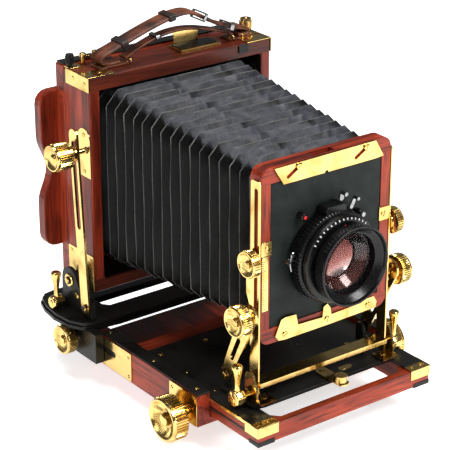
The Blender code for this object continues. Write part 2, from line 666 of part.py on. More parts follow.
def build_rear_standard():
    origin = (0, *REAR_PIVOT)
    outer = box((-REAR_HALF, REAR_HALF), REAR_Y, REAR_Z)
    shell = make("rear_standard", outer, wood(), origin)
    inner = box((-REAR_HALF + REAR_WALL, REAR_HALF - REAR_WALL), (REAR_Y[0] - 0.002, REAR_Y[1] + 0.002),
                (REAR_Z[0] + 0.0100, REAR_Z[1] - 0.0110))
    bores = [pin((side * 0.0755, *REAR_PIVOT), (side, 0, 0), 0.0080, 0.0034) for _, side in SIDES]
    cut(shell, inner, *bores)
    bevel(shell, 0.0010)
    back = make("reversible_back", box((-0.0806, 0.0806), BACK_Y, (0.0600, 0.2310)), wood(), origin)
    cut(back, box((-0.0600, 0.0600), (BACK_Y[0] - 0.002, BACK_Y[1] + 0.002), (0.0980, 0.1960)))
    bevel(back, 0.0012)


def glass_outline():
    """The ground-glass frame's outline in X and Z, with a finger scoop in each side."""
    half, low, high = 0.0942, 0.0870, 0.2090
    middle = (low + high) / 2
    scoop = []
    for i in range(13):
        t = -1 + 2 * i / 12
        scoop.append((half - 0.0075 * (0.5 + 0.5 * math.cos(math.pi * t)), middle + 0.0260 * t))
    right = arc(half - 0.010, low + 0.010, 0.010, 270, 360, 4) + scoop
    right += arc(half - 0.010, high - 0.010, 0.010, 0, 90, 4)
    return right + [(-x, z) for x, z in reversed(right)]


def build_back():
    origin = (0, GLASS_FRAME_Y[0], 0.1480)
    frame = make("ground_glass_frame", plate(glass_outline(), "Y", *GLASS_FRAME_Y), wood(), origin)
    cut(frame, box((-0.0640, 0.0640), (0.1100, 0.1200), (0.0950, 0.2010)),
        box((-0.0600, 0.0600), (0.1000, 0.1200), (0.0990, 0.1970)))
    bevel(frame, 0.0006)
    make("ground_glass", box((-0.0628, 0.0628), (0.1108, 0.1128), (0.0962, 0.1998)), ground(), origin)
    for word, side in SIDES:
        path = [(0.1156, 0.1300), (0.1172, 0.1300), (0.1205, 0.1480), (0.1172, 0.1660), (0.1156, 0.1660),
                (0.1190, 0.1480)]
        make(f"back_spring_{word}", plate(path, "X", *sided(side, 0.0700, 0.0780)), steel(), origin)


# ---- top fittings ------------------------------------------------------------------------------
def build_top():
    for word, x, y, radius, mat in (("left", -0.0775, 0.0905, 0.0034, black_metal()),
                                    ("right", 0.0745, 0.0822, 0.0050, brass())):
        profile = [(0, radius * 0.6), (0.0014, radius * 0.6), (0.0016, radius), (0.0120, radius),
                   (0.0130, radius * 0.84)]
        make(f"top_knob_{word}", lathe(profile, (x, y, TOP_Z + 0.0014), (0, 0, 1), 24), mat, (x, y, TOP_Z))
    bracket = make("top_bracket", box((0.0060, 0.0420), (0.0700, 0.0868), (TOP_Z + GAP, TOP_Z + 0.0018)),
                   brass())
    fuse(bracket, box((0.0100, 0.0320), (0.0856, 0.0868), (TOP_Z + GAP, TOP_Z + 0.0110)))
    build_handle()


STRAP_ENDS = (-0.0560, 0.0640)


def strap_point(t):
    """The strap's middle line in X and Z, from its left end (0) to its right end (1)."""
    x = STRAP_ENDS[0] + (STRAP_ENDS[1] - STRAP_ENDS[0]) * t
    rise = math.sin(math.pi * min(1.0, max(0.0, t))) ** 0.9
    return x, TOP_Z + 0.0046 + 0.0240 * rise


def build_handle():
    steps = 20
    thick = 0.0015
    upper, lower = [], []
    for i in range(steps + 1):
        x, z = strap_point(i / steps)
        before, after = strap_point((i - 0.5) / steps), strap_point((i + 0.5) / steps)
        way = (Vector(after) - Vector(before)).normalized()
        upper.append((x - way.y * thick, z + way.x * thick))
        lower.append((x + way.y * thick, z - way.x * thick))
    strap = make("handle_strap", plate(upper + lower[::-1], "Y", 0.0722, 0.0842), leather())
    for x in STRAP_ENDS:
        fuse(strap, box((x - 0.0040, x + 0.0040), (0.0732, 0.0832), (TOP_Z + GAP, TOP_Z + 0.0046)))


def main():
    clear_scene()
    build_bed()
    build_pinion()
    build_focus_knobs()
    build_slide_frame()
    build_front_base()
    build_front_feet()
    build_swing_tongue()
    build_front_standard()
    build_front_struts()
    build_front_controls()
    build_lens_frame()
    build_catches()
    build_shutter()
    build_shutter_levers()
    build_bellows()
    build_rear_plates()
    build_rear_struts()
    build_rear_controls()
    build_rear_standard()
    build_back()
    build_top()


main()
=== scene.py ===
"""Looks of the wooden view camera: materials, turned brass, pleated bellows, leather handle."""
import json
import math

import bmesh
import bpy
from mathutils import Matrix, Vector


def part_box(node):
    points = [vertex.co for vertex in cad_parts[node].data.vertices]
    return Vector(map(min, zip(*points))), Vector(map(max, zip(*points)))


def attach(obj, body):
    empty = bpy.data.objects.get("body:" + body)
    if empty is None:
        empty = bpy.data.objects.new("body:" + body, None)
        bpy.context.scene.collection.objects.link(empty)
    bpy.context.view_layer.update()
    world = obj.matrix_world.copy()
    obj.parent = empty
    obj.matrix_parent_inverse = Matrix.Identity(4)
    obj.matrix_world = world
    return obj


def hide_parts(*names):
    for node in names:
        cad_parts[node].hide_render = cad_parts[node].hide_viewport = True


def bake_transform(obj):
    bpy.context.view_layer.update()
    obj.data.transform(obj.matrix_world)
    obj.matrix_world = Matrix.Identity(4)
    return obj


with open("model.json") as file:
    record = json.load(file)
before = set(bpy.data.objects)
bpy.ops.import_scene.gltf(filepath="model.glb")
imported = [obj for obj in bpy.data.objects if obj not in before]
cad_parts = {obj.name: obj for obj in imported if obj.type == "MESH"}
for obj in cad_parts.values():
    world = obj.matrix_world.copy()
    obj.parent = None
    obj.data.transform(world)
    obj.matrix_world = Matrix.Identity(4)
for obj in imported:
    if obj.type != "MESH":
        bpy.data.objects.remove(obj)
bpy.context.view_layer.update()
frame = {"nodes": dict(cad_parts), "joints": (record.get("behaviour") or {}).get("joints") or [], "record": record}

SIDES = (("left", -1), ("right", 1))

# ---- places taken from the CAD frame
RAIL_LOW, RAIL_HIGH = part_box("bed_right_rail")
STRIP_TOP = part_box("bed_right_top_strip")[1].z
SLIDE_LOW, SLIDE_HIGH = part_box("focus_frame")
SLIDE_PLATE_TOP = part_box("focus_top_plate")[1].z
REAR_LOW, REAR_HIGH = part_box("rear_standard")
WOOD_LOW, WOOD_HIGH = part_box("lens_frame")
BOARD_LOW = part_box("lens_board")[0]
BACK_LOW, BACK_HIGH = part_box("reversible_back")
BASE_TOP = 0.0390                 # upper face of the front base plate
FRONT_Y = WOOD_LOW.y
LENS = Vector((0.0, BOARD_LOW.y, 0.1350))
BELLOWS_LOW, BELLOWS_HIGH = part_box("bellows")
SKIN = 0.0006                     # thickness of the brass trim


def add_object(name, data):
    obj = bpy.data.objects.new(name, data)
    bpy.context.scene.collection.objects.link(obj)
    return obj


# ---- node helpers
class Nodes:
    """Builds one material's node tree, one short call per node."""

    def __init__(self, name, **constants):
        self.mat = bpy.data.materials.new(name)
        self.mat.use_nodes = True
        self.tree = self.mat.node_tree
        self.shader = self.tree.nodes["Principled BSDF"]
        for key, value in constants.items():
            socket = self.shader.inputs[key.replace("_", " ")]
            socket.default_value = (*value, 1.0) if isinstance(value, tuple) else value

    def add(self, kind, links=None, **values):
        node = self.tree.nodes.new(kind)
        for key, value in values.items():
            if hasattr(node, key):
                setattr(node, key, value)
            else:
                node.inputs[key.replace("_", " ")].default_value = value
        for key, source in (links or {}).items():
            self.tree.links.new(source, node.inputs[key])
        return node

    def place(self, scale=(1, 1, 1)):
        """The piece's own coordinates in metres, stretched."""
        where = self.add("ShaderNodeTexCoord").outputs["Object"]
        return self.add("ShaderNodeMapping", {"Vector": where}, Scale=scale).outputs["Vector"]

    def noise(self, vector, scale, detail=3.0, distortion=0.0, roughness=0.5):
        return self.add("ShaderNodeTexNoise", {"Vector": vector}, Scale=scale, Detail=detail,
                        Distortion=distortion, Roughness=roughness).outputs["Fac"]

    def ramp(self, source, *stops):
        node = self.add("ShaderNodeValToRGB", {"Fac": source})
        elements = node.color_ramp.elements
        while len(elements) < len(stops):
            elements.new(0.5)
        for element, (position, color) in zip(elements, stops):
            element.position = position
            element.color = (*color, 1.0) if isinstance(color, tuple) else (color, color, color, 1.0)
        return node.outputs["Color"]

    def mix(self, factor, first, second, blend="MIX"):
        node = self.add("ShaderNodeMix", data_type="RGBA", blend_type=blend)
        for index, value in ((0, factor), (6, first), (7, second)):
            if isinstance(value, (int, float)):
                node.inputs[index].default_value = value if index == 0 else (value, value, value, 1)
            elif isinstance(value, tuple):
                node.inputs[index].default_value = (*value, 1.0)
            else:
                self.tree.links.new(value, node.inputs[index])
        return node.outputs[2]

    def math(self, operation, first, second):
        node = self.add("ShaderNodeMath", operation=operation)
        for socket, value in zip(node.inputs, (first, second)):
            if isinstance(value, (int, float)):
                socket.default_value = value
            else:
                self.tree.links.new(value, socket)
        return node.outputs[0]

    def bump(self, height, strength, distance, below=None):
        links = {"Height": height}
        if below:
            links["Normal"] = below
        return self.add("ShaderNodeBump", links, Strength=strength, Distance=distance).outputs["Normal"]

    def set(self, **links):
        for key, source in links.items():
            self.tree.links.new(source, self.shader.inputs[key.replace("_", " ")])
        return self.mat


MADE = {}


def once(build):
    """Each material is built the first time that it is asked for."""
    def get(*key):
        if (build, key) not in MADE:
            MADE[build, key] = build(*key)
        return MADE[build, key]
    return get


# ---- materials
@once
def wood(grain="Z", crossing=None, inside=None):
    """Lacquered red hardwood with its grain along one axis. Outside a range along another axis,
    crossing = (axis, low, high), the grain runs along X. Within the box |x| < half and low < z < high,
    inside = (half, low, high), the wood is painted black, and the bars round it carry painted shade."""
    name = f"lacquered_wood_{grain}" + (f"_{crossing[0]}" if crossing else "") + ("_lined" if inside else "")
    n = Nodes(name, Roughness=0.38, IOR=1.45, Specular_IOR_Level=0.30, Coat_Weight=0.08,
              Coat_Roughness=0.06)
    along, across = 5.0, 95.0
    scale = {axis: tuple(along if a == axis else across for a in "XYZ") for axis in "XYZ"}
    vector = n.place(scale[grain])
    where = n.add("ShaderNodeSeparateXYZ", {"Vector": n.place()}).outputs
    if crossing:
        axis, low, high = crossing
        beyond = n.math("ADD", n.math("LESS_THAN", where[axis], low),
                        n.math("GREATER_THAN", where[axis], high))
        vector = n.mix(beyond, vector, n.place(scale["X"]))
    figure = n.noise(vector, 0.9, 5.0, 1.1, 0.62)
    body = n.ramp(figure, (0.30, (0.055, 0.0060, 0.0018)), (0.43, (0.200, 0.0195, 0.0056)),
                  (0.56, (0.350, 0.0390, 0.0120)), (0.74, (0.450, 0.0680, 0.0220)))
    pores = n.noise(vector, 7.0, 2.0, 0.0, 0.6)
    streak = n.ramp(pores, (0.34, 0.22), (0.47, 1.0))
    color = n.mix(0.80, body, streak, "MULTIPLY")
    cloud = n.ramp(n.noise(n.place(), 28.0, 2.0), (0.35, 0.70), (0.62, 1.08))
    color = n.mix(1.0, color, cloud, "MULTIPLY")
    if inside:
        half, low, high = inside
        lined = n.math("LESS_THAN", n.math("ABSOLUTE", where["X"], 0.0), half)
        for kind, limit in (("GREATER_THAN", low), ("LESS_THAN", high)):
            lined = n.math("MULTIPLY", lined, n.math(kind, where["Z"], limit))
        # painted shade: the bars round the black lining are darkened towards dark brown
        color = n.mix(n.math("MULTIPLY", beyond, 0.72), color, (0.022, 0.0060, 0.0022))
        color = n.mix(lined, color, (0.004, 0.0035, 0.003))
    normal = n.bump(pores, 0.10, 0.0002)
    return n.set(Base_Color=color, Normal=normal)


@once
def brass(tone="bright"):
    """Polished brass with faint rubbing marks and a little tarnish."""
    n = Nodes(f"polished_brass_{tone}", Metallic=1.0)
    tarnish = n.noise(n.place(), 55.0, 4.0, 0.6)
    sheen_variation = n.noise(n.place((1, 1, 8)), 330.0, 3.0)
    first, second = {"bright": ((0.50, 0.32, 0.085), (0.80, 0.57, 0.20)),
                     "deep": ((0.40, 0.24, 0.08), (0.72, 0.49, 0.19))}[tone]
    color = n.ramp(tarnish, (0.30, first), (0.50, second))
    rough = n.ramp(sheen_variation, (0.30, 0.10), (0.75, 0.24))
    normal = n.bump(sheen_variation, 0.05, 0.0002)
    return n.set(Base_Color=color, Roughness=rough, Normal=normal)


@once
def enamel():
    """Satin black enamel over aluminium plate."""
    n = Nodes("black_metal", Specular_IOR_Level=0.20)
    peel = n.noise(n.place(), 900.0, 2.0)
    cloud = n.noise(n.place(), 40.0, 4.0)
    color = n.ramp(cloud, (0.35, (0.0065, 0.0062, 0.0056)), (0.7, (0.016, 0.015, 0.013)))
    rough = n.ramp(cloud, (0.3, 0.24), (0.7, 0.38))
    return n.set(Base_Color=color, Roughness=rough, Normal=n.bump(peel, 0.06, 0.0002))


@once
def grained_black():
    """Finely pebbled black of the lens board."""
    n = Nodes("lens_board_black", Specular_IOR_Level=0.16)
    cells = n.add("ShaderNodeTexVoronoi", {"Vector": n.place()}, Scale=1500.0)
    cloud = n.noise(n.place(), 90.0, 4.0)
    color = n.ramp(cloud, (0.3, (0.007, 0.010, 0.0085)), (0.7, (0.016, 0.021, 0.0185)))
    rough = n.ramp(cells.outputs["Distance"], (0.1, 0.42), (0.6, 0.62))
    return n.set(Base_Color=color, Roughness=rough,
                 Normal=n.bump(cells.outputs["Distance"], 0.35, 0.00015))


@once
def anodised():
    """Fine black of the shutter and the lens barrel."""
    n = Nodes("shutter_black", Specular_IOR_Level=0.28)
    dust = n.noise(n.place(), 700.0, 3.0)
    cloud = n.noise(n.place(), 120.0, 3.0)
    color = n.ramp(cloud, (0.3, (0.003, 0.003, 0.0033)), (0.7, (0.007, 0.007, 0.0075)))
    rough = n.ramp(dust, (0.3, 0.20), (0.7, 0.32))
    return n.set(Base_Color=color, Roughness=rough, Normal=n.bump(dust, 0.02, 0.0001))


@once
def chrome():
    n = Nodes("bright_steel", Metallic=1.0)
    marks = n.noise(n.place((1, 6, 1)), 400.0, 3.0)
    color = n.ramp(marks, (0.3, (0.22, 0.225, 0.23)), (0.7, (0.38, 0.385, 0.39)))
    return n.set(Base_Color=color, Roughness=n.ramp(marks, (0.3, 0.12), (0.7, 0.26)))


@once
def lens_glass():
    """The clear front element: a thin veil of coated glass that lets the inside show."""
    n = Nodes("lens_glass", Base_Color=(0.020, 0.008, 0.009), IOR=1.6, Alpha=0.05)
    haze = n.noise(n.place(), 40.0, 1.0)
    return n.set(Roughness=n.ramp(haze, (0.4, 0.13), (0.9, 0.17)))


@once
def coated_glass_painted_glow(where="core"):
    """Inner lens surfaces: a pale rose mirror at the core and wine red at the rim, in a painted reflection that is
    strongest low and to the right.
    """
    place = {"core": ((0.085, 0.016, 0.012), (0.30, 0.110, 0.095), (0.70, 0.58, 0.55)),
             "rim": ((0.004, 0.002, 0.002), (0.020, 0.005, 0.004), (0.090, 0.022, 0.016))}[where]
    n = Nodes(f"lens_coating_painted_glow_{where}", Metallic=0.85 if where == "core" else 0.25, IOR=1.6)
    per_metre = 30.0
    # painted reflection: the coating's tints brighten across the glass towards the lower right, from dark to wine
    # red at the rim and pale rose at the core
    axis = n.add("ShaderNodeSeparateXYZ", {"Vector": n.place((per_metre,) * 3)}).outputs
    height = n.math("SUBTRACT", axis["Z"], per_metre * LENS.z)
    across = n.math("SUBTRACT", n.math("MULTIPLY", axis["X"], 0.55), height)
    cloud = n.math("ADD", across, n.math("MULTIPLY", n.noise(n.place(), 55.0, 1.0), 0.5))
    color = n.ramp(cloud, (0.10, place[0]), (0.40, place[1]), (0.85, place[2]))
    return n.set(Base_Color=color, Roughness=n.ramp(cloud, (0.3, 0.06), (0.7, 0.12)))


@once
def frosted_glass():
    n = Nodes("ground_glass", IOR=1.5, Transmission_Weight=0.55, Base_Color=(0.80, 0.83, 0.82))
    grit = n.noise(n.place(), 2500.0, 2.0)
    return n.set(Roughness=n.ramp(grit, (0.3, 0.50), (0.7, 0.68)), Normal=n.bump(grit, 0.2, 0.0001))


@once
def strap_leather(shade="upper"):
    """Brown bridle leather with pores, creases and darker rubbed patches."""
    n = Nodes(f"handle_leather_{shade}", Coat_Weight=0.10, Coat_Roughness=0.28, Specular_IOR_Level=0.3)
    pores = n.add("ShaderNodeTexVoronoi", {"Vector": n.place()}, Scale=1300.0).outputs["Distance"]
    creases = n.noise(n.place((1, 3, 1)), 190.0, 5.0, 0.8)
    cloud = n.noise(n.place(), 75.0, 5.0)
    color = n.ramp(cloud, (0.34, (0.022, 0.0060, 0.0025)), (0.50, (0.090, 0.0230, 0.0090)),
                   (0.72, (0.210, 0.0620, 0.0250)))
    if shade == "keeper":
        color = n.mix(0.85, color, (0.006, 0.0055, 0.005))
    normal = n.bump(pores, 0.30, 0.00025)
    normal = n.bump(creases, 0.45, 0.0004, normal)
    return n.set(Base_Color=color, Roughness=n.ramp(creases, (0.3, 0.36), (0.7, 0.56)), Normal=normal)


@once
def bellows_leather():
    """Black leathercloth: fine grain and soft wrinkles, a painted grey-blue sheen on top, and folds paler from
    wear and a painted highlight.
    """
    n = Nodes("bellows_leather", Specular_IOR_Level=0.13)
    grain = n.add("ShaderNodeTexVoronoi", {"Vector": n.place()}, Scale=1100.0).outputs["Distance"]
    wrinkle = n.noise(n.place((2.6, 1, 1)), 150.0, 5.0, 1.2, 0.6)
    crackle = n.noise(n.place((2.2, 1, 2.2)), 260.0, 4.0, 2.0, 0.6)
    mottle = n.noise(n.place((1.2, 3.0, 1.2)), 85.0, 5.0, 0.5)
    cloth = n.ramp(mottle, (0.34, (0.0016, 0.0016, 0.0016)), (0.66, (0.0042, 0.0040, 0.0036)))
    # painted sheen: a lighter grey-blue colour that stands in for the top light's sheen on the bellows
    sheen_variation = n.ramp(mottle, (0.34, (0.042, 0.044, 0.050)), (0.50, (0.074, 0.078, 0.094)),
                    (0.66, (0.125, 0.124, 0.135)))
    up = n.add("ShaderNodeSeparateXYZ",
               {"Vector": n.add("ShaderNodeNewGeometry").outputs["Normal"]}).outputs["Z"]
    # the painted sheen is laid on the cloth where its normal faces up
    cloth = n.mix(n.ramp(up, (0.45, 0.0), (0.80, 1.0)), cloth, sheen_variation)
    # crest lines paler from wear and a painted highlight, broken up by the crackle
    edge = n.add("ShaderNodeAttribute", attribute_name="fold").outputs["Fac"]
    crest_wear_and_highlight = n.math("MULTIPLY", edge, n.ramp(crackle, (0.35, 0.45), (0.62, 1.0)))
    # the painted highlight is kept off the top and is strongest on the upward-tilted sides
    crest_wear_and_highlight = n.math("MULTIPLY", crest_wear_and_highlight, n.ramp(up, (0.0, 0.55), (0.40, 1.0), (0.68, 0.0)))
    color = n.mix(crest_wear_and_highlight, cloth, (0.300, 0.290, 0.270))
    normal = n.bump(grain, 0.18, 0.0002)
    normal = n.bump(crackle, 0.20, 0.0003, normal)
    normal = n.bump(wrinkle, 0.40, 0.0006, normal)
    return n.set(Base_Color=color, Roughness=n.ramp(wrinkle, (0.3, 0.34), (0.72, 0.46)), Normal=normal)


@once
def paint(name, color):
    n = Nodes(name, Roughness=0.4)
    speck = n.noise(n.place(), 800.0, 2.0)
    dim = tuple(c * 0.72 for c in color)
    return n.set(Base_Color=n.ramp(speck, (0.3, dim), (0.6, color)))


@once
def thread():
    n = Nodes("waxed_thread", Roughness=0.6)
    twist = n.noise(n.place((1, 1, 4)), 900.0, 2.0)
    return n.set(Base_Color=n.ramp(twist, (0.3, (0.16, 0.075, 0.030)), (0.7, (0.36, 0.19, 0.085))))


# ---- mesh helpers
def piece(name, bm, mat, body, bevel=0.0, sharp=35, closed=True):
    """Makes an object of a mesh and lets it ride on a CAD body. An open mesh keeps its own winding."""
    if closed:
        bmesh.ops.recalc_face_normals(bm, faces=bm.faces[:])
    mesh = bpy.data.meshes.new(name)
    bm.to_mesh(mesh)
    bm.free()
    obj = add_object(name, mesh)
    mesh.materials.append(mat)
    mesh.shade_smooth()
    mesh.set_sharp_from_angle(angle=math.radians(sharp))
    if bevel:
        round_edges(obj, bevel)
    if body:
        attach(obj, body)
    return obj


def round_edges(obj, width, segments=2, angle=40):
    modifier = obj.modifiers.new("edges", "BEVEL")
    modifier.width = width
    modifier.segments = segments
    modifier.limit_method = "ANGLE"
    modifier.angle_limit = math.radians(angle)
    modifier.harden_normals = True


def loft(bm, rings, closed=False):
    """Joins rings of equal length with faces, and caps the ends unless they meet."""
    made = [[bm.verts.new(p) for p in ring] for ring in rings]
    pairs = list(zip(made, made[1:]))
    if closed:
        pairs.append((made[-1], made[0]))
    for first, second in pairs:
        count = len(first)
        for i in range(count):
            j = (i + 1) % count
            bm.faces.new((first[i], first[j], second[j], second[i]))
    if not closed:
        bm.faces.new(made[0])
        bm.faces.new(made[-1])
    return bm


def basis(way):
    """Two directions across a way, the first as level as it can be."""
    way = Vector(way).normalized()
    side = way.cross(Vector((0, 0, 1)))
    side = side.normalized() if side.length > 0.1 else Vector((1, 0, 0))
    return side, way.cross(side)


def turned(bm, profile, centre, way, steps=64, ridge=None, hollow=False):
    """Turns (distance, radius) pairs about an axis. Rings inside ridge = (from, to, count, depth) are
    cut into straight knurls. A hollow piece's profile closes on itself, and leaves the axis free."""
    way = Vector(way).normalized()
    side, up = basis(way)
    if ridge:
        low, high, count, depth = ridge
        steps = count * 4
    made = []
    for distance, radius in profile:
        middle = Vector(centre) + way * distance
        if radius == 0:
            made.append([bm.verts.new(middle)])
            continue
        ring = []
        for i in range(steps):
            angle = 2 * math.pi * i / steps
            r = radius
            if ridge and low <= distance <= high and i % 4 in (0, 3):
                r = radius - depth
            ring.append(bm.verts.new(middle + side * (r * math.cos(angle)) + up * (r * math.sin(angle))))
        made.append(ring)
    following = made[1:] + made[:1] if hollow else made[1:]
    for first, second in zip(made, following):
        for i in range(steps):
            j = (i + 1) % steps
            corners = [first[i % len(first)], first[j % len(first)],
                       second[j % len(second)], second[i % len(second)]]
            bm.faces.new(list(dict.fromkeys(corners)))
    for ring in (made[0], made[-1]):
        if len(ring) > 1 and not hollow:
            bm.faces.new(ring)
    return bm


def block(bm, low, high):
    corners = ((low[0], low[1]), (high[0], low[1]), (high[0], high[1]), (low[0], high[1]))
    return loft(bm, [[(x, y, z) for x, y in corners] for z in (low[2], high[2])])


def arc(cx, cy, radius, start, end, steps=8):
    points = []
    for i in range(steps + 1):
        angle = math.radians(start + (end - start) * i / steps)
        points.append((cx + radius * math.cos(angle), cy + radius * math.sin(angle)))
    return points


def rounded(x0, x1, y0, y1, radius, steps=5):
    """A rectangle with rounded corners. The two x values may come in either order."""
    x0, x1 = sorted((x0, x1))
    return (arc(x1 - radius, y1 - radius, radius, 0, 90, steps)
            + arc(x0 + radius, y1 - radius, radius, 90, 180, steps)
            + arc(x0 + radius, y0 + radius, radius, 180, 270, steps)
            + arc(x1 - radius, y0 + radius, radius, 270, 360, steps))


def slab(bm, outline, axis, low, high, hole=None):
    """Extrudes an outline along X, Y or Z between two places in either order. A hole has as many points
    as the outline."""
    place = {"X": lambda u, v, w: (w, u, v),
             "Y": lambda u, v, w: (u, w, v),
             "Z": lambda u, v, w: (u, v, w)}[axis]
    low, high = sorted((low, high))
    rings = [[place(u, v, w) for u, v in outline] for w in (low, high)]
    if hole is None:
        return loft(bm, rings)
    rings += [[place(u, v, w) for u, v in hole] for w in (high, low)]
    return loft(bm, rings, closed=True)


def round_hole(y, z, radius, start, count, sweep=352):
    """A nearly whole circle with its first point at an angle, walked to pair with an outline."""
    return spread(arc(y, z, radius, start, start + sweep, 40), count)


def spread(outline, count):
    """The same closed outline walked in equal steps, so that it can be paired with a hole."""
    points = [Vector(p) for p in outline]
    ends = points[1:] + points[:1]
    lengths = [(b - a).length for a, b in zip(points, ends)]
    total = sum(lengths)
    walked = []
    for k in range(count):
        left = total * k / count
        for a, b, length in zip(points, ends, lengths):
            if left <= length:
                walked.append(tuple(a.lerp(b, left / length)))
                break
            left -= length
    return walked


def screw(bm, place, way, radius=0.0021, turn=25.0, height=0.0007):
    """A slotted screw head: a thin disc that carries two half-discs with the slot between them."""
    place, way = Vector(place), Vector(way).normalized()
    side, up = basis(way)
    turned(bm, [(-0.0003, radius * 0.97), (height * 0.35, radius * 0.97)], place, way, 20)
    half_slot = radius * 0.16
    for flip in (0, 180):
        rings = []
        for share, size in ((0.25, 1.0), (0.70, 1.0), (0.92, 0.90), (1.0, 0.74)):
            r = radius * size
            start = math.degrees(math.asin(half_slot / r))
            ring = []
            for u, v in arc(0, 0, r, start, 180 - start, 8):
                angle = math.radians(turn + flip)
                a, b = u * math.cos(angle) - v * math.sin(angle), u * math.sin(angle) + v * math.cos(angle)
                ring.append(place + side * a + up * b + way * (height * share))
            rings.append(ring)
        loft(bm, rings)
    return bm


def outward(side, x, y, z):
    """A place on one side of the camera, facing away from it."""
    return (side * x, y, z), (side, 0, 0)


def upward(x, y, z):
    return (x, y, z), (0, 0, 1)


def forward(x, y, z):
    return (x, y, z), (0, -1, 0)


def screws(name, body, places, radius=0.0021, height=0.0007):
    """Screw heads of one body: (place, way) pairs, each with its slot at another angle."""
    bm = bmesh.new()
    first_turn, next_turn = 25, 47
    for i, (place, way) in enumerate(places):
        screw(bm, place, way, radius, first_turn + next_turn * i, height)
    piece(name, bm, brass(), body)


def smooth_path(points, steps=8):
    """A Catmull-Rom curve through points."""
    points = [Vector(p) for p in points]
    full = [points[0] * 2 - points[1]] + points + [points[-1] * 2 - points[-2]]
    curve = []
    for a, b, c, d in zip(full, full[1:], full[2:], full[3:]):
        for i in range(steps):
            t = i / steps
            curve.append(0.5 * ((2 * b) + (c - a) * t + (2 * a - 5 * b + 4 * c - d) * t * t
                                + (3 * b - a - 3 * c + d) * t ** 3))
    return curve + [points[-1]]


def strap(bm, path, width, thick, across=Vector((0, 1, 0))):
    """A flat strap with rounded edges along a path. Returns the frames that it follows."""
    frames = []
    for i, point in enumerate(path):
        way = (path[min(i + 1, len(path) - 1)] - path[max(i - 1, 0)]).normalized()
        up = across.cross(way).normalized()
        frames.append((point, way, up, across))
    half, edge = width / 2, thick / 2
    section = rounded(-half, half, -edge, edge, edge * 0.8, 3)
    loft(bm, [[p + side * u + up * v for u, v in section] for p, _, up, side in frames])
    return frames


def stitches(bm, frames, offset, lift, gap=0.0034, length=0.0022, radius=0.00032):
    """A row of thread stitches along a strap's frames."""
    walked = 0.0
    target = gap
    for (p, way, up, side), (q, *_rest) in zip(frames, frames[1:]):
        step = (q - p).length
        while walked + step >= target:
            middle = p.lerp(q, (target - walked) / step) + side * offset + up * lift
            start = middle - way * (length / 2)
            turned(bm, [(0, 0), (0.0003, radius), (length - 0.0003, radius), (length, 0)], start, way, 6)
            target += gap
        walked += step
    return bm


# ---- turned brass
def knob(name, side, stud, collar, length, radius, dish, ridges):
    """A clamping knob with a straight knurled grip, a dished face and a domed nut. Its stud is
    (length, radius)."""
    centre = axis_point(name.replace("knob_", "knob_turn_"))
    profile = [(-stud[0], stud[1]), (0, stud[1]), (0, collar), (length * 0.14, collar),
               (length * 0.17, collar * 1.02)]
    profile += [(length * along, radius * size) for along, size in
                ((0.22, 0.90), (0.26, 0.955), (0.29, 1), (0.85, 1), (0.88, 0.955), (0.96, 0.95), (1, 0.92),
                 (1, 0.84))]
    profile += [(length - dish * sunk, radius * size) for sunk, size in
                ((0.35, 0.77), (0.80, 0.60), (1, 0.43), (1, 0.31), (0.75, 0.27), (0.40, 0.26), (0.22, 0.20),
                 (0.12, 0.10), (0.10, 0))]
    bm = bmesh.new()
    turned(bm, profile, centre, (side, 0, 0), ridge=(length * 0.285, length * 0.86, ridges, radius * 0.06))
    obj = piece(f"{name}_knurled", bm, brass(), name, sharp=28)
    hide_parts(name)


def axis_point(joint):
    return Vector(next(j["pos_m"] for j in frame["joints"] if j["name"] == joint))


def clamp_lever(name, side, hub_length, hub_radius, height, hub_from):
    """A clamping lever: a lobed hub with a screw in its face, and a waisted handle with a wide head."""
    start = Vector((side * hub_from, *axis_point(name.replace("lever_", "lever_turn_")).yz))
    way = Vector((side, 0, 0))
    bm = bmesh.new()
    lobes, steps = 8, 64
    rings = []
    across, up = basis(way)
    for share, size in ((0, 0.86), (0.08, 0.97), (0.20, 1.0), (0.80, 1.0), (0.92, 0.97), (1.0, 0.84)):
        ring = []
        for i in range(steps):
            angle = 2 * math.pi * i / steps
            r = hub_radius * size * (1 - 0.055 * (0.5 + 0.5 * math.cos(lobes * angle)))
            ring.append(start + way * (hub_length * share) + across * (r * math.cos(angle))
                        + up * (r * math.sin(angle)))
        rings.append(ring)
    loft(bm, rings)
    foot = start + way * (hub_length * 0.5) + Vector((0, 0, hub_radius * 0.7))
    turned(bm, [(0, 0.0024), (0.0010, 0.0021), (height * 0.22, 0.0018), (height * 0.50, 0.0022),
                (height * 0.72, 0.0031), (height * 0.84, 0.0037), (height * 0.93, 0.0039),
                (height * 0.98, 0.0036), (height, 0.0030), (height - 0.0004, 0.0014), (height - 0.0004, 0)],
           foot, (0, 0, 1), 40)
    screw(bm, start + way * hub_length, way, hub_radius * 0.42, 40, 0.0006)
    obj = piece(f"{name}_turned", bm, brass(), name, sharp=40)
    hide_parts(name)


CLAMP_KNOBS = {                   # stud, collar, length, radius, dish and ridges of each pair
    "tilt_knob": ((0.0040, 0.0020), 0.0062, 0.0115, 0.0112, 0.0026, 44),
    "rise_knob": ((0.0015, 0.0016), 0.0054, 0.0082, 0.0098, 0.0024, 36),
    "rear_tilt_knob": ((0.0100, 0.0020), 0.0056, 0.0185, 0.0102, 0.0020, 40),
    "rear_lock_knob": ((0.0177, 0.0024), 0.0062, 0.0105, 0.0113, 0.0024, 44)}
CLAMP_LEVERS = {                  # hub length, hub radius, handle height and the hub's start from the middle
    "front_lever": (0.0080, 0.0062, 0.0205, 0.0668),
    "rear_lever": (0.0100, 0.0050, 0.0205, 0.0935)}


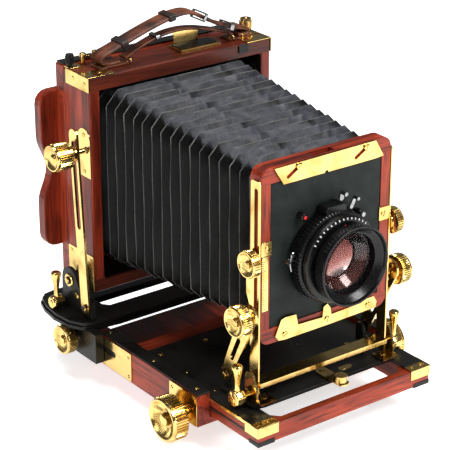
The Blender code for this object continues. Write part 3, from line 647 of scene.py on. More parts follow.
def make_knobs():
    for word, side in SIDES:
        inner = abs(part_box(f"focus_knob_{word}")[0 if side > 0 else 1].x)
        centre = Vector((side * inner, *axis_point("focus_knob_turn").yz))
        length, radius, dish = 0.0165, 0.0166, 0.0042
        bm = bmesh.new()
        profile = [(0, 0.0072), (0.0014, 0.0072), (0.0018, 0.0066), (0.0030, 0.0066), (0.0034, 0.0120),
                   (0.0040, 0.0152), (0.0046, 0.0158), (0.0050, radius), (0.0141, radius), (0.0145, 0.0158),
                   (0.0158, 0.0157), (length, 0.0151), (length, 0.0139), (length - 0.0016, 0.0127),
                   (length - 0.0034, 0.0100), (length - dish, 0.0072), (length - dish, 0.0050),
                   (length - 0.0030, 0.0045), (length - 0.0012, 0.0043), (length - 0.0006, 0.0034),
                   (length - 0.0003, 0.0018), (length - 0.0003, 0)]
        turned(bm, profile, centre, (side, 0, 0), ridge=(0.0049, 0.0142, 48, 0.0011))
        obj = piece(f"focus_knob_{word}_knurled", bm, brass(), "focus_drive", sharp=28)
        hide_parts(f"focus_knob_{word}")
        for kind, sizes in CLAMP_KNOBS.items():
            knob(f"{kind}_{word}", side, *sizes)
        for kind, sizes in CLAMP_LEVERS.items():
            clamp_lever(f"{kind}_{word}", side, *sizes)


def make_top_knobs():
    """The left one has a black cap and the right one is brass, each on a small foot."""
    for word, side in SIDES:
        low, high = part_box(f"top_knob_{word}")
        centre = Vector(((low.x + high.x) / 2, (low.y + high.y) / 2, low.z))
        dark = side < 0
        height = (high.z - low.z) * (0.66 if dark else 0.78)
        radius = (high.x - low.x) / 2
        profile = [(0, radius * 0.60), (0.0014, radius * 0.60), (0.0017, radius * 0.88),
                   (0.0023, radius * 0.98), (0.0026, radius), (height * 0.80, radius),
                   (height * 0.84, radius * 0.92), (height, radius * 0.84), (height, radius * 0.40),
                   (height - 0.0006, radius * 0.28), (height - 0.0006, 0)]
        bm = bmesh.new()
        turned(bm, profile, centre, (0, 0, 1), ridge=(0.00255, height * 0.81, 26, 0.0004))
        obj = piece(f"top_knob_{word}_knurled", bm, enamel() if dark else brass("deep"),
                    f"top_knob_{word}", sharp=28)
        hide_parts(f"top_knob_{word}")


# ---- lens and shutter
def lens_turned(name, node, profile, mat=None, body="lens_standard", ridge=None, sharp=30, hollow=True):
    """A turned piece of the lens. Distances count from the front of the lens board."""
    bm = bmesh.new()
    turned(bm, profile, LENS, (0, -1, 0), 128, ridge, hollow)
    obj = piece(name, bm, mat or anodised(), body, sharp=sharp)
    if node:
        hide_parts(node)


def make_lens():
    lens_turned("shutter_case", "shutter_body",
                [(0.0004, 0.0205), (0.0004, 0.0318), (0.0020, 0.0324), (0.0024, 0.0318), (0.0046, 0.0318),
                 (0.0050, 0.0326), (0.0054, 0.0330), (0.0112, 0.0330), (0.0116, 0.0324), (0.0124, 0.0318),
                 (0.0128, 0.0305), (0.0128, 0.0205)],
                ridge=(0.0053, 0.0113, 72, 0.0005))
    lens_turned("speed_ring_turned", "speed_ring",
                [(0.0136, 0.0240), (0.0136, 0.0309), (0.0140, 0.0312), (0.0172, 0.0312), (0.0178, 0.0309),
                 (0.0187, 0.0284), (0.0187, 0.0276), (0.0182, 0.0272), (0.0182, 0.0240)],
                body="speed_ring")
    lens_turned("front_barrel", "front_lens_cell",
                [(0.0132, 0.0196), (0.0132, 0.0230), (0.0195, 0.0230), (0.0200, 0.0252), (0.0206, 0.0263),
                 (0.0216, 0.0268), (0.0298, 0.0284), (0.0304, 0.0287), (0.0316, 0.0287), (0.0321, 0.0284),
                 (0.0321, 0.0274), (0.0316, 0.0271), (0.0300, 0.0265), (0.0297, 0.0261), (0.0285, 0.0251),
                 (0.0282, 0.0247), (0.0271, 0.0238), (0.0268, 0.0233), (0.0262, 0.0227), (0.0259, 0.0221),
                 (0.0253, 0.0219), (0.0205, 0.0217), (0.0200, 0.0206), (0.0145, 0.0196)])
    lens_turned("inner_ring", None,
                [(0.0118, 0.0136), (0.0118, 0.0190), (0.0128, 0.0190), (0.0134, 0.0150), (0.0134, 0.0136)])
    lens_turned("middle_glass", None,
                [(0.0196, 0.0204), (0.0199, 0.0204), (0.0168, 0.0178), (0.0146, 0.0150), (0.0138, 0.0137),
                 (0.0135, 0.0137), (0.0143, 0.0150), (0.0165, 0.0178)],
                coated_glass_painted_glow("rim"), sharp=60)
    radius, depth, bulge, steps = 0.0217, 0.0234, 0.0024, 9
    dome = [(depth + bulge * (1 - (i / steps) ** 2), radius * i / steps) for i in reversed(range(steps))]
    lens_turned("front_glass", "front_element", [(depth - 0.0008, radius), (depth, radius)] + dome,
                lens_glass(), sharp=60, hollow=False)
    radius, depth, bulge = 0.0136, 0.0104, 0.0022
    cup = [(depth + bulge * (i / steps) ** 2, radius * i / steps) for i in reversed(range(steps + 1))]
    lens_turned("inner_glass", None, [(depth - 0.0020, radius)] + cup, coated_glass_painted_glow("core"), sharp=60,
                hollow=False)


def make_rear_lens():
    start = (0, LENS.y + 0.0036, LENS.z)        # just behind the lens board
    bm = bmesh.new()
    turned(bm, [(0.0004, 0.0200), (0.0004, 0.0224), (0.0024, 0.0224), (0.0026, 0.0188), (0.0060, 0.0186),
                (0.0062, 0.0182), (0.0172, 0.0182), (0.0180, 0.0186), (0.0190, 0.0180), (0.0190, 0.0172),
                (0.0180, 0.0165), (0.0150, 0.0163), (0.0148, 0.0150), (0.0010, 0.0150)],
           start, (0, 1, 0), 96, hollow=True)
    cell = piece("rear_barrel", bm, anodised(), "lens_standard", sharp=30)
    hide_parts("rear_lens_cell")
    radius, depth, bulge, steps = 0.0160, 0.0150, 0.0030, 8
    radii = [radius * (steps - i) / steps for i in range(steps + 1)]
    dome = [(depth + bulge * (1 - (r / radius) ** 2), r) for r in radii]
    bm = bmesh.new()
    turned(bm, [(0.0138, 0.0158)] + dome, start, (0, 1, 0), 96)
    glass = piece("rear_glass", bm, lens_glass(), "lens_standard", sharp=60)
    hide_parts("rear_element")


def around_lens(angle, radius, distance):
    a = math.radians(angle)
    return LENS + Vector((radius * math.cos(a), -distance, radius * math.sin(a)))


def stud(bm, profile, angle, radius, distance, steps):
    """A small turned part that faces forward at a place round the lens."""
    turned(bm, profile, around_lens(angle, radius, distance), (0, -1, 0), steps)


def make_shutter_details():
    """Speed marks, the toothed rim, the cocking lever's chrome parts and the flash socket."""
    marks = bmesh.new()
    count, first, gap = 15, 48, 6.9             # degrees round the lens
    for k in range(count):
        start = first + gap * k
        inner = [around_lens(start + step, 0.0290, 0.01845) for step in (0, 0.9, 1.8)]
        outer = [around_lens(start + step, 0.0303, 0.01798) for step in (1.8, 0.9, 0)]
        thickness = Vector((0, -0.0001, 0))
        loft(marks, [inner + outer, [p + thickness for p in inner + outer]])
    piece("speed_marks", marks, paint("white_enamel", (0.80, 0.82, 0.84)), "speed_ring")
    dots = bmesh.new()
    stud(dots, [(0, 0.0013), (0.0004, 0.0013), (0.0007, 0.0008), (0.0008, 0)], 125.5, 0.0402, 0.0062, 20)
    stud(dots, [(0, 0.0007), (0.0002, 0.0007), (0.0003, 0)], 92, 0.0262, 0.0210, 12)
    piece("red_dots", dots, paint("red_enamel", (0.72, 0.015, 0.02)), "lens_standard")
    socket = bmesh.new()
    stud(socket, [(0, 0.0030), (0.0052, 0.0030), (0.0062, 0.0024), (0.0062, 0)], 125.5, 0.0402, 0.0, 32)
    slab(socket, rounded(-0.0085, 0.0085, LENS.z + 0.0300, LENS.z + 0.0372, 0.0020), "Y",
         LENS.y - 0.0108, LENS.y - 0.0008)
    stud(socket, [(0, 0.0026), (0.0058, 0.0026), (0.0064, 0.0020), (0.0064, 0)], 46, 0.0345, 0.0020, 28)
    piece("flash_socket", socket, anodised(), "lens_standard", bevel=0.0003)
    rim = bmesh.new()
    turned(rim, [(0.0024, 0.0310), (0.0024, 0.0336), (0.0046, 0.0336), (0.0046, 0.0310)],
           LENS, (0, -1, 0), ridge=(0.0020, 0.0050, 84, 0.0010), hollow=True)
    piece("toothed_rim", rim, anodised(), "lens_standard", sharp=28)
    bright = bmesh.new()
    stud(bright, [(0, 0.0022), (0.0018, 0.0022), (0.0026, 0.0016), (0.0028, 0)], 46, 0.0345, 0.0084, 24)
    stud(bright, [(0, 0.0020), (0.0016, 0.0020), (0.0020, 0.0015), (0.0021, 0)], 165, 0.0362, 0.0068, 24)
    piece("shutter_studs", bright, chrome(), "lens_standard")
    arm = bmesh.new()
    points = [around_lens(angle, radius, 0.0074) for angle, radius in
              ((163, 0.0360), (170, 0.0368), (177, 0.0366), (184, 0.0358))]
    strap(arm, smooth_path(points, 4), 0.0014, 0.0014)
    piece("aperture_arm", arm, chrome(), "aperture_lever")


# ---- bellows
BELLOWS_MIDDLE = 0.145            # height of the tube's middle
HALF_FOLDS = 34                   # from valley to crest or crest to valley, shared out between the segments, each named by a pair of bodies
SEGMENTS = (("rear_standard", "rear_swing", 4), ("rear_swing", "rear_base", 2), ("rear_base", "root", 8),
            ("root", "focus_rails", 8), ("focus_rails", "front_base", 4),
            ("front_base", "front_standard", 4), ("front_standard", "lens_standard", 4))


def top_shares(steps):
    """Places across the top as shares of its half width, each with its rise: two taped seams stand out."""
    shares = [(1 - 2 * i / steps, 0.0) for i in range(steps + 1)]
    for middle in (-0.28, 0.64):
        for edge, rise in ((-0.026, 0.0), (-0.020, 0.00025), (0.020, 0.00025), (0.026, 0.0)):
            shares.append((middle + edge, rise))
    return sorted(shares, reverse=True)


def bellows_section(k, side_steps=9):
    """One ring of the pleats, k half folds from the rear: odd ones stand out and even ones lie in.
    Returns points, and where each is on the ring."""
    t = k / HALF_FOLDS
    y = BELLOWS_HIGH.y + (BELLOWS_LOW.y - BELLOWS_HIGH.y) * t
    rear_half, front_half, front_low, front_high = 0.0672, 0.0517, 0.0880, 0.2030
    half = rear_half + (front_half - rear_half) * t
    low = BELLOWS_LOW.z + (front_low - BELLOWS_LOW.z) * t
    high = BELLOWS_HIGH.z + (front_high - BELLOWS_HIGH.z) * t
    inner = k % 2 == 0
    depth = (0.0066 - 0.0012 * t) if inner else 0.0
    corner = (0.0110 - 0.0040 * t) * (0.30 if inner else 1.0)
    half, low, high = half - depth, low + depth, high - depth
    flat = half - corner
    tall = high - low - 2 * corner
    shares = [i / side_steps for i in range(side_steps + 1)]
    upper = [(flat * share, high + raised) for share, raised in top_shares(side_steps)]
    left = [(-half, high - corner - tall * share) for share in shares]
    bottom = [(-flat + 2 * flat * share, low) for share in shares]
    right = [(half, low + corner + tall * share) for share in shares]
    return [Vector((x, y, z)) for x, z in upper + left + bottom + right]


def bellows_rings(first, last):
    """Rings between two valleys. A standing fold is rounded by two more rings close to its crest."""
    rings = []
    for k in range(first, last + 1):
        ring = bellows_section(k)
        if k % 2 == 0:
            rings.append((ring, 0.0))
            continue
        near = 0.09
        before, after = ([a.lerp(b, near) for a, b in zip(ring, bellows_section(k + step))]
                         for step in (-1, 1))
        rings += [(before, 0.0), (ring, 1.0), (after, 0.0)]
    return rings


def slack(point, t):
    """The small unevenness of folded cloth: a wave of about 100 mm and one of about 40 mm."""
    wave = (math.sin(point.x * 71 + t * 9.1) * math.sin(point.z * 57 + t * 13.7)
            + 0.6 * math.sin(point.x * 173 + point.z * 131 + t * 31))
    return 0.00035 * wave


def sharpen_ends(mesh):
    """Keeps the shading of an open tube's last panels from bending round its cut ends."""
    bm = bmesh.new()
    bm.from_mesh(mesh)
    for edge in bm.edges:
        if edge.is_boundary:
            edge.smooth = False
    bm.to_mesh(mesh)
    bm.free()


def make_bellows():
    first = 0
    for number, (back_body, front_body, count) in enumerate(SEGMENTS):
        last = first + count
        bm = bmesh.new()
        fold = bm.verts.layers.float.new("fold")
        made = []
        for ring, crest_wear_and_highlight in bellows_rings(first, last):
            verts = []
            for p in ring:
                out = Vector((p.x, 0, p.z - BELLOWS_MIDDLE)).normalized()
                vert = bm.verts.new(p + out * slack(p, p.y * 40) + Vector((0, slack(p, p.y * 90 + 2), 0)))
                # the crest flag feeds the crests' wear and painted highlight in the material
                vert[fold] = crest_wear_and_highlight
                verts.append(vert)
            made.append(verts)
        for a, b in zip(made, made[1:]):
            for i in range(len(a)):
                j = (i + 1) % len(a)
                bm.faces.new((a[i], a[j], b[j], b[i]))
        obj = piece(f"bellows_{number}", bm, bellows_leather(), None, sharp=42, closed=False)
        sharpen_ends(obj.data)
        solid = obj.modifiers.new("cloth", "SOLIDIFY")
        solid.thickness = 0.0007
        solid.offset = -1.0
        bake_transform(obj)
        if number == 3:
            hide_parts("bellows")
        first = last


# ---- leather handle
STRAP_Y = 0.0782


def on_strap(points):
    return smooth_path([(x, STRAP_Y, z) for x, z in points], 8)


def make_handle():
    upper = on_strap([(-0.0470, 0.2330), (-0.0560, 0.2328), (-0.0622, 0.2352), (-0.0600, 0.2392),
                      (-0.0500, 0.2425), (-0.0370, 0.2470), (-0.0200, 0.2524), (-0.0040, 0.2566),
                      (0.0080, 0.2586), (0.0180, 0.2578), (0.0280, 0.2528), (0.0400, 0.2460),
                      (0.0520, 0.2412), (0.0620, 0.2386), (0.0690, 0.2360), (0.0680, 0.2332),
                      (0.0600, 0.2330)])
    lower = on_strap([(-0.0400, 0.2334), (-0.0300, 0.2382), (-0.0180, 0.2425), (-0.0060, 0.2452),
                      (0.0080, 0.2462), (0.0220, 0.2448), (0.0360, 0.2414), (0.0480, 0.2376),
                      (0.0570, 0.2338)])
    bm = bmesh.new()
    frames = strap(bm, upper, 0.0138, 0.0026)
    main = piece("handle_upper", bm, strap_leather("upper"), "rear_standard", sharp=50)
    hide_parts("handle_strap")
    bm = bmesh.new()
    low_frames = strap(bm, lower, 0.0085, 0.0020)
    piece("handle_lower", bm, strap_leather("lower"), "rear_standard", sharp=50)
    bm = bmesh.new()
    for run, half, lift in ((frames[20:-22], 0.0056, 0.0012), (low_frames[4:-4], 0.0032, 0.0010)):
        for offset in (-half, half):
            stitches(bm, run, offset, lift)
    piece("handle_stitches", bm, thread(), "rear_standard", sharp=50)
    make_handle_metal(frames, low_frames)


def band(bm, frame_at, width, thick, length, wall=0.0009):
    """A closed band round a strap at one of its frames."""
    p, way, up, side = frame_at
    outer = rounded(-width / 2 - wall, width / 2 + wall, -thick / 2 - wall, thick / 2 + wall, wall, 3)
    inner = rounded(-width / 2, width / 2, -thick / 2, thick / 2, wall * 0.5, 3)
    rings = []
    for outline, end in ((outer, -1), (outer, 1), (inner, 1), (inner, -1)):
        rings.append([p + side * u + up * v + way * (end * length / 2) for u, v in outline])
    return loft(bm, rings, closed=True)


def make_handle_metal(frames, low_frames):
    """Keepers, rivets, buckles, rings and pads. Bands stand on the straps' frames by their number."""
    dark = bmesh.new()
    rivets = []
    for index in (37, 58):
        band(dark, frames[index], 0.0141, 0.0030, 0.0052)
        p, _, up, _ = frames[index + 4]
        rivets.append((p + up * 0.0013, up))
    piece("handle_keepers", dark, strap_leather("keeper"), "rear_standard", bevel=0.0003)
    screws("handle_rivets", "rear_standard", rivets, 0.0020, 0.0008)
    bright = bmesh.new()
    for frame_at, width, thick, length, wall in ((frames[80], 0.0150, 0.0046, 0.0022, 0.0011),
                                                 (frames[97], 0.0140, 0.0040, 0.0034, 0.0008),
                                                 (low_frames[20], 0.0092, 0.0026, 0.0030, 0.0007)):
        band(bright, frame_at, width, thick, length, wall)
    piece("handle_buckles", bright, chrome(), "rear_standard", bevel=0.0002)
    rings = bmesh.new()
    for x, z in ((-0.0385, 0.2322), (0.0540, 0.2322), (0.0625, 0.2322)):
        torus(rings, Vector((x, STRAP_Y - 0.0055, z)), Vector((1, 0.25, 0)), 0.0022, 0.0005)
    piece("handle_rings", rings, brass(), "rear_standard", sharp=60)
    pads = bmesh.new()
    for x, reach in ((-0.052, 0.0125), (0.062, 0.0105)):
        slab(pads, rounded(x - reach, x + reach, STRAP_Y - 0.0070, STRAP_Y + 0.0070, 0.0015), "Z",
             REAR_HIGH.z + 0.0002, REAR_HIGH.z + 0.0016)
    piece("handle_pads", pads, strap_leather("lower"), "rear_standard", bevel=0.0004)
    screws("pad_screws", "rear_standard",
           [upward(x, STRAP_Y - 0.0020, REAR_HIGH.z + 0.0016) for x in (-0.0610, 0.0700)], 0.0019)


def torus(bm, centre, axis, radius, wire, steps=28, around=10):
    side, up = basis(axis)
    axis = axis.normalized()
    rings = []
    for i in range(steps):
        a = 2 * math.pi * i / steps
        out = side * math.cos(a) + up * math.sin(a)
        rings.append([centre + out * (radius + wire * math.cos(b)) + axis * (wire * math.sin(b))
                      for b in (2 * math.pi * k / around for k in range(around))])
    return loft(bm, rings, closed=True)


# ---- trim
def make_bed_trim():
    """Brass side plates with the pinion's bearings and the lock knobs' slots, and the bed's screws."""
    out = RAIL_HIGH.x
    pinion = axis_point("focus_knob_turn")
    heads = []
    plates = bmesh.new()
    dark = bmesh.new()
    for _, side in SIDES:
        x = side * (out + 0.0001), side * (out + 0.0008)
        front = rounded(RAIL_LOW.y + 0.0004, RAIL_LOW.y + 0.0326, RAIL_LOW.z + 0.0003, RAIL_HIGH.z - 0.0002,
                        0.0006)
        slab(plates, spread(front, 64), "X", *x, hole=round_hole(pinion.y, pinion.z, 0.0036, 45, 64, 357))
        turned(plates, [(0, 0.0022), (0, 0.0056), (0.0007, 0.0056), (0.0010, 0.0052), (0.0010, 0.0022)],
               (side * (out + 0.0006), pinion.y, pinion.z), (side, 0, 0), 40)
        rear = rounded(0.0022, 0.0436, RAIL_LOW.z + 0.0012, RAIL_HIGH.z - 0.0002, 0.0006)
        slot_z = axis_point("rear_lock_knob_turn_left").z
        slot = arc(0.0420, slot_z, 0.0023, -90, 90, 10) + arc(0.0246, slot_z, 0.0023, 90, 270, 10)
        slab(plates, spread(rear, 96), "X", *x, hole=spread(slot[5:] + slot[:5], 96))
        slab(dark, slot, "X", side * (out - 0.0004), side * (out + 0.0002))
        z_low, z_high = RAIL_LOW.z + 0.0044, RAIL_HIGH.z - 0.0040
        spots = [(0.0054, z_low), (0.0054, z_high), (0.0390, z_low), (0.0390, z_high),
                 (-0.0490, z_high), (-0.0490, z_low), (-0.0740, z_high)]
        heads += [outward(side, out + 0.0004, y, z) for y, z in spots]
    piece("bed_side_plates", plates, brass(), "root", bevel=0.00018, sharp=30)
    piece("bed_slot_shadow", dark, enamel(), "root")
    screws("bed_side_screws", "root", heads, 0.0017, 0.0004)
    top = [upward(side * 0.0830, y, STRIP_TOP) for _, side in SIDES for y in (0.0380, -0.0180, -0.0700)]
    screws("bed_strip_screws", "root", top, 0.0015, 0.0004)


def make_slide_trim():
    """Brass corners, edge strips and dark corner blocks of the focusing frame."""
    z0, z1 = SLIDE_LOW.z, SLIDE_HIGH.z
    y0 = SLIDE_LOW.y
    corners = bmesh.new()
    blocks = bmesh.new()
    edges = bmesh.new()
    heads = []
    for _, side in SIDES:
        x_out = side * SLIDE_HIGH.x
        lo, hi = sorted((x_out + side * SKIN, side * 0.0600))
        slab(corners, rounded(lo, hi, z1 - 0.0068, z1 + 0.0012, 0.0003), "Y", y0 - SKIN, y0 - 0.00005)
        slab(corners, [(lo, y0 - SKIN), (hi, y0 - SKIN), (hi, y0 + 0.0072), (lo, y0 + 0.0072)], "Z",
             z1 + 0.0004, z1 + 0.0012)
        slab(corners, rounded(y0 - SKIN, y0 + 0.0140, z1 - 0.0068, z1 + 0.0012, 0.0003), "X",
             x_out + side * 0.00005, x_out + side * SKIN)
        heads += [upward(side * x, y0 + 0.0040, z1 + 0.0012) for x in (0.0732, 0.0650)]
        slab(blocks, rounded(x_out + side * 0.0003, side * 0.0630, z0 - 0.0006, z0 + 0.0030, 0.0006), "Y",
             y0 - 0.0004, y0 + 0.0100)
        slab(edges, rounded(y0 + 0.0142, SLIDE_HIGH.y - 0.0004, z1 - 0.0010, z1 + 0.0010, 0.0003), "X",
             x_out + side * 0.0001, x_out + side * 0.0005)
        slab(blocks, rounded(y0 + 0.0002, SLIDE_HIGH.y - 0.0004, z0 + 0.0062, z0 + 0.0078, 0.0004), "X",
             x_out - side * 0.0002, x_out + side * 0.0003)
    piece("slide_corner_plates", corners, brass(), "focus_rails", bevel=0.0002)
    piece("slide_edge_strips", edges, brass(), "focus_rails")
    piece("slide_corner_blocks", blocks, enamel(), "focus_rails", bevel=0.0003)
    screws("slide_corner_screws", "focus_rails", heads, 0.0019, 0.0004)
    top = [upward(side * 0.0690, y, SLIDE_PLATE_TOP) for _, side in SIDES
           for y in (-0.0720, -0.0390, -0.0060)]
    top += [upward(x, -0.0060, SLIDE_PLATE_TOP) for x in (-0.029, 0.029)]
    screws("slide_plate_screws", "focus_rails", top, 0.0016, 0.0004)


def make_front_trim():
    """Oval badge blank on the base, screws of the feet, struts and pivots, and the rise scale."""
    oval = bmesh.new()
    outline = arc(0.0250, -0.1048, 0.0024, -90, 90, 8) + arc(0.0178, -0.1048, 0.0024, 90, 270, 8)
    slab(oval, outline, "Z", BASE_TOP - 0.0002, BASE_TOP + 0.0005)
    piece("base_oval", oval, brass("deep"), "front_base", bevel=0.0002)
    heads = []
    for _, side in SIDES:
        heads += [upward(side * 0.0540, FRONT_Y - 0.0020, BASE_TOP + 0.0018),
                  outward(side, 0.0626, FRONT_Y + 0.0060, 0.0450), upward(side * 0.0460, -0.0780, BASE_TOP),
                  outward(side, 0.0646, FRONT_Y + 0.0290, 0.0485)]
    heads.append(upward(0.0037, -0.1005, BASE_TOP + 0.0014))
    screws("front_base_screws", "front_base", heads, 0.0021, 0.0006)
    pivots = [outward(side, 0.0615, FRONT_Y + 0.0020, 0.0498) for _, side in SIDES]
    screws("front_pivot_screws", "front_base", pivots, 0.0024, 0.0006)
    pads = bmesh.new()
    scale = bmesh.new()
    heads = []
    for _, side in SIDES:
        outline = rounded(side * WOOD_HIGH.x, side * (WOOD_HIGH.x - 0.0092), LENS.z + 0.0105,
                          LENS.z + 0.0205, 0.0010)
        slab(pads, outline, "Y", FRONT_Y - 0.0008, FRONT_Y - 0.0001)
        heads.append(forward(side * (WOOD_HIGH.x - 0.0052), FRONT_Y - 0.0008, LENS.z + 0.0155))
    piece("frame_side_tabs", pads, brass(), "lens_standard", bevel=0.0002)
    screws("frame_side_screws", "lens_standard", heads, 0.0020, 0.0006)
    slab(scale, rounded(-0.0552, -0.0500, 0.1050, 0.1450, 0.0005), "Y", FRONT_Y - 0.0006, FRONT_Y - 0.0001)
    piece("rise_scale", scale, brass(), "lens_standard", bevel=0.0001)
    ticks = bmesh.new()
    for i in range(26):
        z = 0.1065 + 0.0014 * i
        reach = 0.0026 if i % 5 == 0 else 0.0014
        block(ticks, (-0.0549, FRONT_Y - 0.00068, z), (-0.0549 + reach, FRONT_Y - 0.0005, z + 0.0003))
    piece("rise_scale_marks", ticks, enamel(), "lens_standard")
    catch = [forward(x, FRONT_Y - 0.0015, z) for x, z in
             ((-0.0357, 0.0836), (0.0015, 0.0842), (0.0388, 0.0842))]
    screws("bottom_catch_screws", "lens_standard", catch, 0.0022, 0.0008)
    posts = [forward(x, FRONT_Y - 0.0016, 0.2040) for x in (-0.0262, 0.0322)]
    screws("top_catch_screws", "lens_standard", posts, 0.0022, 0.0012)


def make_rear_trim():
    """Corner plates, strut guides and screws of the rear standard, and its bracket pivots."""
    x_out, top = REAR_HIGH.x, REAR_HIGH.z
    pivot = axis_point("rear_tilt")
    plates = bmesh.new()
    heads = []
    for word, side in SIDES:
        skin = side * (x_out + 0.00005), side * (x_out + SKIN)
        slab(plates, rounded(REAR_LOW.y - 0.0004, 0.0900, top - 0.0105, top + SKIN, 0.0003), "X", *skin)
        slab(plates, rounded(side * (x_out + SKIN), side * 0.0590, REAR_LOW.y - 0.0004, REAR_LOW.y + 0.0135,
                             0.0003), "Z", top + 0.00005, top + SKIN)
        knob_y, knob_z = axis_point(f"rear_tilt_knob_turn_{word}").yz
        y0, y1 = 0.0604, 0.0764
        arch_low, arch_high = knob_z - 0.0213, knob_z + 0.0077
        guide = [(y0, arch_low), (y1, arch_low), (y1, arch_high)]
        guide += arc((y0 + y1) / 2, arch_high, (y1 - y0) / 2, 0, 180, 12)[1:]
        foot = rounded(REAR_LOW.y + 0.0003, REAR_HIGH.y - 0.0003, REAR_LOW.z + 0.0003, 0.0925, 0.0008)
        for outline, y, z, radius in ((guide, knob_y, knob_z, 0.0026), (foot, pivot.y, pivot.z, 0.0038)):
            slab(plates, spread(outline, 72), "X", *skin, hole=round_hole(y, z, radius, 225, 72))
        heads += [outward(side, x_out + SKIN, y, z) for y, z in
                  ((0.0805, top - 0.0045), (0.0655, top - 0.0052), (0.0684, knob_z + 0.0107),
                   (0.0684, knob_z - 0.0173), (0.0645, 0.0885), (0.0900, 0.0885))]
        heads.append(upward(side * 0.0675, REAR_LOW.y + 0.0065, top + SKIN))
    piece("rear_corner_plates", plates, brass(), "rear_standard", bevel=0.00015, sharp=30)
    screws("rear_corner_screws", "rear_standard", heads, 0.0017, 0.0004)
    bracket = []
    rings = bmesh.new()
    for _, side in SIDES:
        turned(rings, [(0, 0.0020), (0, 0.0052), (0.0006, 0.0052), (0.0011, 0.0046), (0.0011, 0.0028),
                       (0.0006, 0.0022)], (side * 0.0897, pivot.y, pivot.z), (side, 0, 0), 48)
        bracket += [outward(side, 0.0916, pivot.y, pivot.z), outward(side, 0.0896, 0.0722, 0.0590)]
    piece("rear_pivot_rings", rings, brass(), "rear_swing", sharp=30)
    screws("rear_pivot_screws", "rear_swing", bracket, 0.0023, 0.0006)
    feet = [outward(side, 0.0934, *axis_point("rear_strut_turn_left").yz) for _, side in SIDES]
    screws("rear_strut_screws", "rear_swing", feet, 0.0026, 0.0007)


def make_top_trim():
    """Catch posts, knob plates and dark plates on the rear standard's top bar."""
    z = REAR_HIGH.z
    posts = bmesh.new()
    slab(posts, rounded(-0.0806, -0.0700, 0.0850, 0.0938, 0.0012), "Z", z + 0.0002, z + 0.0012)
    for x in (-0.0665, -0.0560):
        turned(posts, [(0, 0.0019), (0.0056, 0.0019), (0.0058, 0.0026), (0.0080, 0.0026), (0.0086, 0.0020),
                       (0.0086, 0)], (x, 0.0905, z + 0.0002), (0, 0, 1), 28)
    slab(posts, rounded(-0.0665, -0.0560, 0.0897, 0.0913, 0.0004), "Z", z + 0.0050, z + 0.0064)
    slab(posts, rounded(0.0660, 0.0805, 0.0740, 0.0910, 0.0012), "Z", z + 0.0002, z + 0.0012)
    piece("top_catch_posts", posts, brass(), "rear_standard", bevel=0.0002)
    low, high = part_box("top_bracket")
    dark = bmesh.new()
    block(dark, (low.x + 0.0012, low.y + 0.0026, z + 0.0019), (high.x - 0.0012, high.y - 0.0016, z + 0.0023))
    slab(dark, rounded(0.0510, 0.0600, z - 0.0065, z - 0.0002, 0.0006), "Y", REAR_LOW.y - 0.0012,
         REAR_LOW.y - 0.0001)
    piece("top_dark_plates", dark, enamel(), "rear_standard", bevel=0.0002)


def make_back_trim():
    """The dark strip on the back's top edge, and the screws of the two leaf springs."""
    strips = bmesh.new()
    low, high = BACK_LOW, BACK_HIGH
    slab(strips, rounded(low.x + 0.0006, high.x - 0.0006, low.y + 0.0010, high.y - 0.0012, 0.0012), "Z",
         high.z, high.z + 0.0012)
    piece("back_top_strip", strips, enamel(), "rear_standard", bevel=0.0003)
    heads = [((side * 0.0740, 0.1172, z), (0, 1, 0)) for _, side in SIDES for z in (0.1314, 0.1646)]
    screws("spring_screws", "glass_back", heads, 0.0020, 0.0006)


# ---- finishes of the CAD nodes
def finish_nodes():
    """Gives every CAD node that stays its material: by name for wood and glass, by slot for the rest."""
    finish = {name: wood("Y") for name in ("bed_left_rail", "bed_right_rail", "bed_bottom_board")}
    finish["focus_frame"] = wood("Y", ("Y", SLIDE_LOW.y + 0.0143, SLIDE_HIGH.y - 0.0160))
    finish["lens_frame"] = wood("Z", ("Z", WOOD_LOW.z + 0.0110, WOOD_HIGH.z - 0.0110))
    lining = (REAR_HIGH.x - 0.0088, REAR_LOW.z + 0.0096, REAR_HIGH.z - 0.0106)
    # the rear standard's black lining, with painted shade on the bars round it
    finish["rear_standard"] = wood("Z", ("Z", REAR_LOW.z + 0.0105, REAR_HIGH.z - 0.0112), lining)
    finish["reversible_back"] = wood("Z", ("Z", BACK_LOW.z + 0.0300, BACK_HIGH.z - 0.0300))
    finish["ground_glass_frame"] = wood("Z")
    finish["lens_board"] = grained_black()
    finish["ground_glass"] = frosted_glass()
    by_slot = {"black_metal": enamel, "polished_brass": brass, "bright_steel": chrome,
               "shutter_black": anodised}
    slots = {s["node"]: s["material_slot"] for s in frame["record"]["subparts"]}
    for name, obj in frame["nodes"].items():
        if name not in finish and slots[name] not in by_slot:
            continue
        obj.data.materials.clear()
        obj.data.materials.append(finish[name] if name in finish else by_slot[slots[name]]())


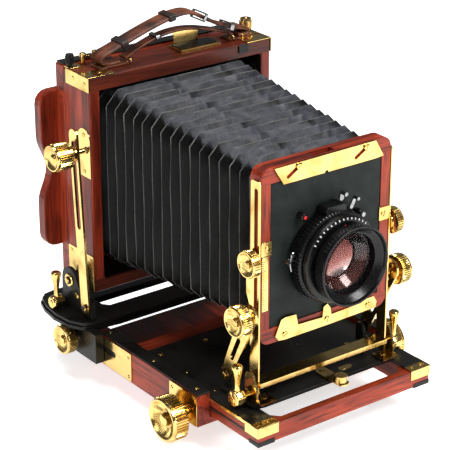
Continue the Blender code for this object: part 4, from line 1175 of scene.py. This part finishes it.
# ---- studio
def area_light(name, place, aim, size, power):
    data = bpy.data.lights.new(name, "AREA")
    data.shape = "RECTANGLE"
    data.size, data.size_y = size
    data.energy = power
    lamp = add_object(name, data)
    lamp.location = place
    lamp.rotation_euler = (Vector(aim) - Vector(place)).to_track_quat("-Z", "Y").to_euler()


def make_studio():
    bm = bmesh.new()
    reach = 4.0
    corners = ((-reach, -reach, 0), (reach, -reach, 0), (reach, reach, 0), (-reach, reach, 0))
    bm.faces.new([bm.verts.new(p) for p in corners])
    mesh = bpy.data.meshes.new("floor")
    bm.to_mesh(mesh)
    bm.free()
    floor = add_object("floor", mesh)
    pale = Nodes("pale_floor", Base_Color=(0.90, 0.90, 0.90), Roughness=0.75, Specular_IOR_Level=0.1,
                 Emission_Color=(1.0, 1.0, 1.0), Emission_Strength=0.66)
    mesh.materials.append(pale.mat)
    world = bpy.data.worlds.new("studio")
    world.use_nodes = True
    background = world.node_tree.nodes["Background"]
    background.inputs["Color"].default_value = (0.93, 0.95, 1.0, 1.0)
    background.inputs["Strength"].default_value = 0.13
    bpy.context.scene.world = world
    aim = (0, -0.02, 0.12)
    area_light("key", (0.55, -1.15, 1.35), aim, (0.7, 0.7), 31)
    area_light("left", (-1.35, -0.25, 0.70), aim, (0.6, 0.9), 5)
    area_light("top", (-0.1, 0.35, 1.7), aim, (1.0, 0.7), 22)
    area_light("low_front", (0.42, -1.70, 0.16), LENS, (0.28, 0.24), 2.5)


def make_camera():
    """The view point is about 1.3 m from the model, in front of it, to its left and above."""
    data = bpy.data.cameras.new("camera")
    data.lens = 144
    data.sensor_width = 36
    camera = add_object("camera", data)
    camera.location = (-0.7252, -0.9608, 0.6342)
    camera.rotation_euler = (math.radians(66.8), 0, math.radians(-36.8))
    bpy.context.scene.camera = camera


make_camera()
make_studio()
bpy.context.scene.view_settings.view_transform = "Standard"
finish_nodes()
make_knobs()
make_top_knobs()
make_lens()
make_rear_lens()
make_shutter_details()
make_bellows()
make_handle()
make_bed_trim()
make_slide_trim()
make_front_trim()
make_rear_trim()
make_top_trim()
make_back_trim()
